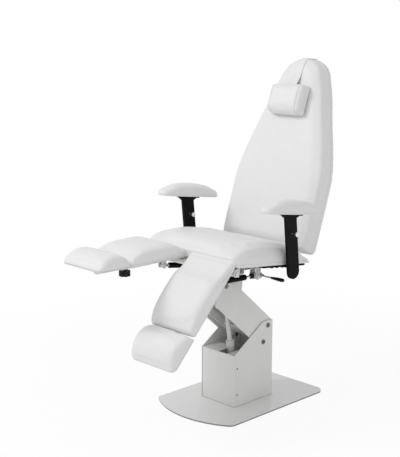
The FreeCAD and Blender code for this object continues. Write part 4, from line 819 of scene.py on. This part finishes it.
# Stretch gussets carry the upholstery over the hinges, from the seat's nose on to the legs' pads
GUSSET_SEAT = (-0.1515, 0.152)
GUSSET_BACK = (-0.008, 0.0425)
GUSSET_LAP = -0.078
GUSSET_TUCK = 0.014
GUSSET_HALF = 0.1335
GUSSET_COVER = 0.0006
GUSSET_STEPS, GUSSET_COLUMNS = 22, 36
UNDERSIDE = (-0.030, 0.0455)
PAD_MIDDLE = 0.062
SIDE_DROP = 0.45
NOSE_LIFT = 0.12
# Where the bend ends on a lowered and on a level leg, how far it falls on its way, and where its welt runs
FLUSH_LOWERED = -0.045
FLUSH_LEVEL = -0.062
FLUSH_FALL = -0.3
WELT_SHARE = 0.33


def hermite(first, lead, last, leave, t):
    """A curve between two points with their tangents, at t from 0 to 1."""
    return (first * (2 * t ** 3 - 3 * t * t + 1) + lead * (t ** 3 - 2 * t * t + t)
            + last * (3 * t * t - 2 * t ** 3) + leave * (t ** 3 - t * t))


def hinge_gusset(side):
    """Columns across the leg, in its own frame: each from the seat's nose to the pad and back beneath."""
    surface = pads["calf_" + side].surface
    place = leg_place[side]
    seat_edge = place.inverted() @ seat_place @ Vector((0, *GUSSET_SEAT))
    seat_edge.x = 0
    back_edge = Vector((0, *GUSSET_BACK))
    flush = FLUSH_LOWERED if seat_edge.y > 0 else FLUSH_LEVEL

    def pad_top(x, y):
        return surface.ray_cast(Vector((x, y, 0.2)), Vector((0, 0, -1)))[0]

    def on_pad(x, y):
        return pad_top(x, y) or surface.find_nearest(Vector((x, y, PAD_MIDDLE)))[0]

    crest = on_pad(0, GUSSET_LAP).z
    work = bmesh.new()
    columns = []
    for column in range(GUSSET_COLUMNS + 1):
        x = GUSSET_HALF * math.sin(math.pi * (column / GUSSET_COLUMNS - 0.5))
        landing = on_pad(x, GUSSET_LAP)
        before = on_pad(x, GUSSET_LAP + 0.008)
        first = Vector((x, seat_edge.y, seat_edge.z - SIDE_DROP * (crest - landing.z)))
        length = (landing - first).length
        leave = (landing - before).normalized() * length
        lead = ((landing - first).normalized() + Vector((0, 0, NOSE_LIFT))).normalized() * length
        line = []
        for step in range(GUSSET_STEPS + 1):
            spot = hermite(first, lead, landing, leave, step / GUSSET_STEPS)
            under = pad_top(x, spot.y)
            if under is not None:
                spot.z = max(spot.z, under.z + GUSSET_COVER)
            line.append(spot)
        tuck = on_pad(x, GUSSET_LAP - GUSSET_TUCK)
        line.append(tuck - Vector((0, 0, 2 * GUSSET_COVER)))
        line.append(Vector((x, UNDERSIDE[0], min(UNDERSIDE[1], line[-1].z - 0.004))))
        line.append(Vector((x, back_edge.y, back_edge.z)))
        line.append(Vector((x, *((back_edge + first) / 2).yz)))
        columns.append([work.verts.new(spot) for spot in line])
    for one, two in zip(columns, columns[1:]):
        for number in range(len(one)):
            after = (number + 1) % len(one)
            work.faces.new((one[number], one[after], two[after], two[number]))
    for column in (columns[0], columns[-1]):
        work.faces.new(column)
    bmesh.ops.recalc_face_normals(work, faces=work.faces)
    turn_end = Vector((0, flush, seat_edge.z + (flush - seat_edge.y) * FLUSH_FALL))
    reach = turn_end - seat_edge
    layer = work.verts.layers.float.new("seam")
    for v in work.verts:
        spot = Vector((0, v.co.y, v.co.z))
        share = (spot - seat_edge).dot(reach) / reach.length_squared
        v[layer] = abs(share - WELT_SHARE) * reach.length
    piece = new_piece(f"hinge_gusset_{side}", work, leather, "leg_" + side, place, smooth=0)
    piece.parent = None
    subdivided(piece)
    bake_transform(piece)


for side in SIDES:
    hinge_gusset(side)


# The pillow's strap: from behind the pillow over the top of the back
STRAP_MIDDLE = 0.006
STRAP_HALF = 0.019
STRAP_THICK = 0.0014
STRAP_LANDING = 0.5
STRAP_LIFT = 0.024
STRAP_CORE = (-0.030, 0.80)
STRAP_START, STRAP_SWEEP = -38, 190
STRAP_ACROSS, STRAP_ALONG = 6, 60
STRAP_SEAM = 0.003
STRAP_PLAY = 0.0008
STRAP_WAVE = 0.0006
STRAP_RIPPLES = (160, 30)


def pillow_strap():
    core = Vector((STRAP_MIDDLE, *STRAP_CORE))
    work = bmesh.new()
    bmesh.ops.create_grid(work, x_segments=STRAP_ACROSS, y_segments=STRAP_ALONG, size=0.5)
    surface = pads["back"].surface
    for v in work.verts:
        side_step = v.co.x * 2 * STRAP_HALF
        share = v.co.y + 0.5
        angle = math.radians(STRAP_START + share * STRAP_SWEEP)
        way = Vector((0, -math.cos(angle), math.sin(angle)))
        start = core + Vector((side_step, 0, 0)) + way * 0.4
        hit, normal, _, _ = surface.ray_cast(start, -way)
        if hit is None:
            hit, normal = core + way * 0.1, way
        ripple = Vector((side_step * STRAP_RIPPLES[0], share * STRAP_RIPPLES[1], 3.0))
        stand = STRAP_PLAY + abs(STRAP_WAVE * noise.noise(ripple))
        if share < STRAP_LANDING:
            stand += STRAP_LIFT * (1 - share / STRAP_LANDING) ** 1.5
        v.co = hit + normal * stand
    bmesh.ops.smooth_vert(work, verts=[v for v in work.verts if not v.is_boundary], factor=0.4,
                          use_axis_x=False, use_axis_y=True, use_axis_z=True)
    bmesh.ops.recalc_face_normals(work, faces=work.faces)
    layer = work.verts.layers.float.new("seam")
    for v in work.verts:
        v[layer] = abs(STRAP_HALF - STRAP_SEAM - abs(v.co.x - STRAP_MIDDLE))
    strap = new_piece("pillow_strap", work, leather, "back", back_place, smooth=0)
    body = strap.modifiers.new("body", "SOLIDIFY")
    body.thickness = STRAP_THICK
    body.offset = 1
    subdivided(strap)
    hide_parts("head_strap")
    strap.parent = None
    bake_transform(strap)


pillow_strap()


# Fasteners
ALONG_X = Matrix.Rotation(math.pi / 2, 4, "Y")


def at_height(edges, height):
    return [e for e in edges if all(abs(v.co.x - height) < 1e-6 for v in e.verts)]


def hex_head(radius, height, socket_radius, socket_depth):
    """A round bolt head along +X with a hexagon socket."""
    rim = min(height * 0.25, radius * 0.12)
    work = turned([(0, radius * 0.9), (0, radius), (height - rim, radius),
                   (height - rim * 0.3, radius - rim * 0.3), (height, radius - rim),
                   (height, socket_radius * 1.16)])
    mouth = at_height([e for e in work.edges if e.is_boundary], height)
    ring = bmesh.ops.create_circle(work, segments=6, radius=socket_radius,
                                   matrix=Matrix.Translation((height, 0, 0)) @ ALONG_X)
    corners = set(ring["verts"])
    hexagon = [e for e in work.edges if all(v in corners for v in e.verts)]
    bmesh.ops.bridge_loops(work, edges=mouth + hexagon)
    wall = bmesh.ops.extrude_edge_only(work, edges=hexagon)
    deep = [v for v in wall["geom"] if isinstance(v, bmesh.types.BMVert)]
    bmesh.ops.translate(work, verts=deep, vec=(-socket_depth, 0, 0))
    bmesh.ops.contextual_create(work, geom=[e for e in wall["geom"] if isinstance(e, bmesh.types.BMEdge)])
    bmesh.ops.holes_fill(work, edges=[e for e in work.edges if e.is_boundary], sides=0)
    bmesh.ops.recalc_face_normals(work, faces=work.faces)
    return work


def hex_nut(radius, height):
    """A hexagon nut or head along +X with chamfered corners."""
    work = bmesh.new()
    bmesh.ops.create_cone(work, cap_ends=True, segments=6, radius1=radius, radius2=radius, depth=height,
                          matrix=Matrix.Translation((height / 2, 0, 0)) @ ALONG_X)
    return rounded(work, at_height(work.edges, height), height * 0.16)


def outward(sign, x, y, z):
    """The place of a part that looks along X, away from the middle."""
    return Matrix.Translation((sign * x, y, z)) @ Matrix.Diagonal((sign, 1, 1, 1))


COLUMN_FACE = 0.105
# Each pivot's Y and Z, and the X of the face that its nut sits on; each screw's Y and Z
PIVOT_SPOTS = ((0.097, 0.353, 0.0905), (0.0655, 0.279, 0.0625))
SCREW_SPOTS = ((-0.107, 0.065), (-0.107, 0.189))
# Heads: radius, height, and the socket's radius and depth; nuts: radius and height
PIVOT_HEAD = (0.010, 0.005, 0.0052, 0.0034)
COVER_SCREW = (0.004, 0.0016, 0.0018, 0.0012)
PIVOT_NUT = (0.012, 0.006)
RAIL_NUT = (0.0072, 0.006)
EAR_NUT = (0.0040, 0.0022)
SHANK_RADIUS = 0.008
PIVOT_WASHER = ((0, 0.0085), (0, 0.0118), (0.0009, 0.0118), (0.0012, 0.0114), (0.0012, 0.0085))


def column_fasteners():
    parts = []
    nuts = []
    for sign in SIDES.values():
        for y, z, inner in PIVOT_SPOTS:
            parts.append(moved(hex_head(*PIVOT_HEAD), outward(sign, COLUMN_FACE, y, z)))
            parts.append(moved(turned(PIVOT_WASHER), outward(sign, COLUMN_FACE, y, z)))
            reach = COLUMN_FACE - inner
            shank = turned([(0, 0.0), (0, SHANK_RADIUS), (reach, SHANK_RADIUS), (reach, 0.0)])
            parts.append(moved(shank, outward(sign, inner, y, z)))
            nuts.append(moved(hex_nut(*PIVOT_NUT), outward(sign, inner, y, z)))
        for y, z in SCREW_SPOTS:
            parts.append(moved(hex_head(*COVER_SCREW), outward(sign, COLUMN_FACE, y, z)))
    piece = new_piece("column_fasteners", joined(*parts), bolt_coat, "base", None)
    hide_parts("column_bolts")
    new_piece("pivot_nuts", joined(*nuts), zinc, "base", None)


column_fasteners()

RAIL_X = 0.267
RAIL_UNDERSIDE = 0.109
RAIL_BOLTS = (0.098, 0.133, 0.168)
RAIL_WASHER = ((0, 0.0), (0, 0.0085), (0.0012, 0.0085), (0.0012, 0.0))


def rail_fasteners():
    parts = []
    for sign in SIDES.values():
        for along in RAIL_BOLTS:
            down = Matrix.Translation((sign * RAIL_X, along, RAIL_UNDERSIDE)) @ ALONG_X
            parts.append(moved(turned(RAIL_WASHER, 24), down))
            turn = Matrix.Rotation(0.4 * along / RAIL_BOLTS[0], 4, "X")
            parts.append(moved(hex_nut(*RAIL_NUT), down @ turn))
    piece = new_piece("rail_fasteners", joined(*parts), bolt_coat, "seat", seat_place)
    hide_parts("edge_rail_bolts")


rail_fasteners()


# The release mechanism of each leg's gas spring
HEAD_HALF = 0.0135
HEAD_DEPTH = 0.012
HEAD_START, HEAD_END = -0.017, 0.034
LEVER_BACK = 0.0265
LEVER_BOSS = 0.0053
LEVER_PLAY = 0.0005
EAR_GAP = 0.0055
EAR_THICK = 0.003
RING_DEPTH = 0.0022
STEM_PROFILE = ((-0.017, 0.0), (-0.017, 0.005), (0.1235, 0.005), (0.124, 0.0045), (0.124, 0.0))
RING_PROFILE = ((0, 0.0061), (0, 0.0105), (0.0016, 0.0105), (0.0022, 0.0098), (0.0022, 0.0061))
BOOT_START, BOOT_PITCH = 0.0175, 0.0046
BOOT_RADIUS, BOOT_TAPER = 0.0124, 0.0006
AHEAD = Matrix.Rotation(-math.pi / 2, 4, "Z")


def boot_profile():
    """A rubber boot with three ribs."""
    line = [(0.0168, 0.0), (0.0168, 0.0112)]
    for number in range(3):
        start = BOOT_START + number * BOOT_PITCH
        wide = BOOT_RADIUS - number * BOOT_TAPER
        line += [(start, wide - 0.0006), (start + 0.0012, wide), (start + 0.0028, wide - 0.0002),
                 (start + 0.0036, 0.0096)]
    return line + [(0.0320, 0.0078), (0.0330, 0.0070), (0.0332, 0.0)]


def release_mechanism(side, sign):
    """The spring's stem and boot, and its cast head with a ring on each flank and the lever's two ears."""
    body = "leg_spring_rod_" + side
    place = spring_place[side]
    new_piece(f"gas_spring_stem_{side}", moved(turned(STEM_PROFILE), AHEAD), chrome, body, place)
    boot = moved(turned(boot_profile()), AHEAD)
    new_piece(f"release_boot_{side}", boot, rubber, body, place)
    cast = block((-HEAD_HALF, HEAD_START, -HEAD_DEPTH), (HEAD_HALF, HEAD_END, HEAD_DEPTH), 0.0025, 3)
    flanks = [f for f in cast.faces if abs(f.normal.x) > 0.99 and f.calc_area() > 0.0005]
    bmesh.ops.inset_individual(cast, faces=flanks, thickness=0.0035, depth=-RING_DEPTH)
    rings = [moved(turned(RING_PROFILE, 24), outward(way, HEAD_HALF - RING_DEPTH, 0, 0)) for way in (1, -1)]
    ears = []
    centre = HEAD_HALF + LEVER_PLAY + LEVER_BOSS
    for way in (1, -1):
        low, high = sorted((way * EAR_GAP, way * (EAR_GAP + EAR_THICK)))
        near, far = sorted((sign * (HEAD_HALF - EAR_THICK), sign * (centre + LEVER_BOSS)))
        start, end = (near, LEVER_BACK + low, -LEVER_BOSS), (far, LEVER_BACK + high, LEVER_BOSS)
        ears.append(block(start, end, 0.0009))
        spot = Matrix.Translation((sign * centre, LEVER_BACK + way * (EAR_GAP + EAR_THICK), 0))
        ears.append(moved(hex_nut(*EAR_NUT), spot @ Matrix.Rotation(way * math.pi / 2, 4, "Z")))
    head = new_piece(f"release_head_{side}", joined(cast, *rings, *ears), zinc, body, place)
    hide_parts(f"leg_spring_rod_{side}")


GRIP_PROFILE = ((0.0, 0.0040), (0.0, 0.0052), (0.002, 0.0060), (0.008, 0.0066), (0.020, 0.0080),
                (0.036, 0.0094), (0.052, 0.0101), (0.062, 0.0100), (0.068, 0.0090), (0.0722, 0.0068),
                (0.0740, 0.0036), (0.0744, 0.0))
GRIP_START = 0.0745
GRIP_FLATNESS = 0.82


def paddle_grip(side, sign):
    work = turned(GRIP_PROFILE)
    bmesh.ops.scale(work, verts=work.verts, vec=(1, 1, GRIP_FLATNESS))
    piece = new_piece(f"paddle_grip_{side}", moved(work, outward(sign, GRIP_START, LEVER_BACK, 0)), moulding,
                      "release_lever_" + side, spring_place[side])
    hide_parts(f"lever_grip_{side}")


CLAMP_LEVEL = 0.173
CLAMP_PROFILE = ((-0.0028, 0.0), (-0.0028, 0.004), (0.0070, 0.004), (0.0076, 0.0050), (0.0084, 0.0056),
                 (0.0100, 0.0054), (0.0110, 0.0050), (0.0335, 0.0106), (0.0345, 0.0112), (0.0360, 0.0112),
                 (0.0370, 0.0104), (0.0378, 0.0080), (0.0380, 0.0))


def clamp_screw(side):
    work = moved(turned(CLAMP_PROFILE, 36), Matrix.Translation((0, 0, CLAMP_LEVEL)))
    piece = new_piece(f"clamp_screw_{side}", work, nickel, "armrest_clamp_" + side, armrest_place[side])
    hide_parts(f"armrest_clamp_{side}")


for side, sign in SIDES.items():
    release_mechanism(side, sign)
    paddle_grip(side, sign)
    clamp_screw(side)


# Floor, backdrop and light
FLOOR_REACH = 14.0
FLOOR_DROP = 0.0006
GLOW_NEAR = 0.90
GLOW_START, GLOW_END = 1.1, 2.4
WORLD_LIGHT = 0.70
WHITE = (1, 1, 1, 1)


def set_floor():
    """A white floor that catches shadows near the chair and glows white to the camera and in mirrors."""
    ground = Finish("white_floor", Base_Color=(0.94, 0.94, 0.94, 1), Roughness=0.9)
    tree = ground.tree
    seen = ground.node("LightPath", output="Is Camera Ray")
    for ray in ("Is Glossy Ray", "Is Transmission Ray"):
        seen = seen + ground.node("LightPath", output=ray)
    glow = ground.node("Emission", None, {"Color": WHITE, "Strength": 1.0})
    reach = ground.node("VectorMath", {"operation": "LENGTH"}, {0: ground.place()}, 1)
    bare = GLOW_NEAR + ground.band(reach, GLOW_START, GLOW_END) * (1 - GLOW_NEAR)
    mixed = ground.node("MixShader", None, {0: ground.band(seen, 0.0, 1.0) * bare})
    node = mixed.socket.node
    tree.links.new(ground.shader.outputs[0], node.inputs[1])
    tree.links.new(glow.socket, node.inputs[2])
    out = next(n for n in tree.nodes if n.type == "OUTPUT_MATERIAL")
    tree.links.new(mixed.socket, out.inputs["Surface"])
    work = bmesh.new()
    bmesh.ops.create_grid(work, x_segments=1, y_segments=1, size=FLOOR_REACH)
    bmesh.ops.translate(work, verts=work.verts, vec=(0, 0, -FLOOR_DROP))
    mesh = bpy.data.meshes.new("floor")
    work.to_mesh(mesh)
    work.free()
    mesh.materials.append(ground.material)
    floor = bpy.data.objects.new("floor", mesh)
    scene.collection.objects.link(floor)


def set_world():
    """White to the camera, softer as a light."""
    world = bpy.data.worlds.new("studio")
    scene.world = world
    world.use_nodes = True
    tree = world.node_tree
    path = tree.nodes.new("ShaderNodeLightPath")
    shown = tree.nodes.new("ShaderNodeMath")
    shown.operation = "MAXIMUM"
    tree.links.new(path.outputs["Is Camera Ray"], shown.inputs[0])
    tree.links.new(path.outputs["Is Transmission Ray"], shown.inputs[1])
    white = tree.nodes.new("ShaderNodeBackground")
    white.inputs["Color"].default_value = WHITE
    white.inputs["Strength"].default_value = 1.0
    soft = tree.nodes["Background"]
    soft.inputs["Color"].default_value = WHITE
    soft.inputs["Strength"].default_value = WORLD_LIGHT
    both = tree.nodes.new("ShaderNodeMixShader")
    tree.links.new(shown.outputs[0], both.inputs[0])
    tree.links.new(soft.outputs[0], both.inputs[1])
    tree.links.new(white.outputs[0], both.inputs[2])
    tree.links.new(both.outputs[0], tree.nodes["World Output"].inputs["Surface"])


def set_lamp(name, spot, target, size, power):
    lamp = bpy.data.lights.new(name, "AREA")
    lamp.shape = "SQUARE"
    lamp.size = size
    lamp.energy = power
    holder = bpy.data.objects.new(name, lamp)
    holder.location = spot
    holder.rotation_euler = (Vector(target) - Vector(spot)).to_track_quat("-Z", "Y").to_euler()
    scene.collection.objects.link(holder)


set_floor()
set_world()
scene.view_settings.view_transform = "Standard"
set_lamp("key", (-1.7, -2.9, 3.9), (0, 0, 0.8), 1.3, 66)
set_lamp("fill", (3.6, -0.6, 1.8), (0, 0, 0.7), 2.4, 3)
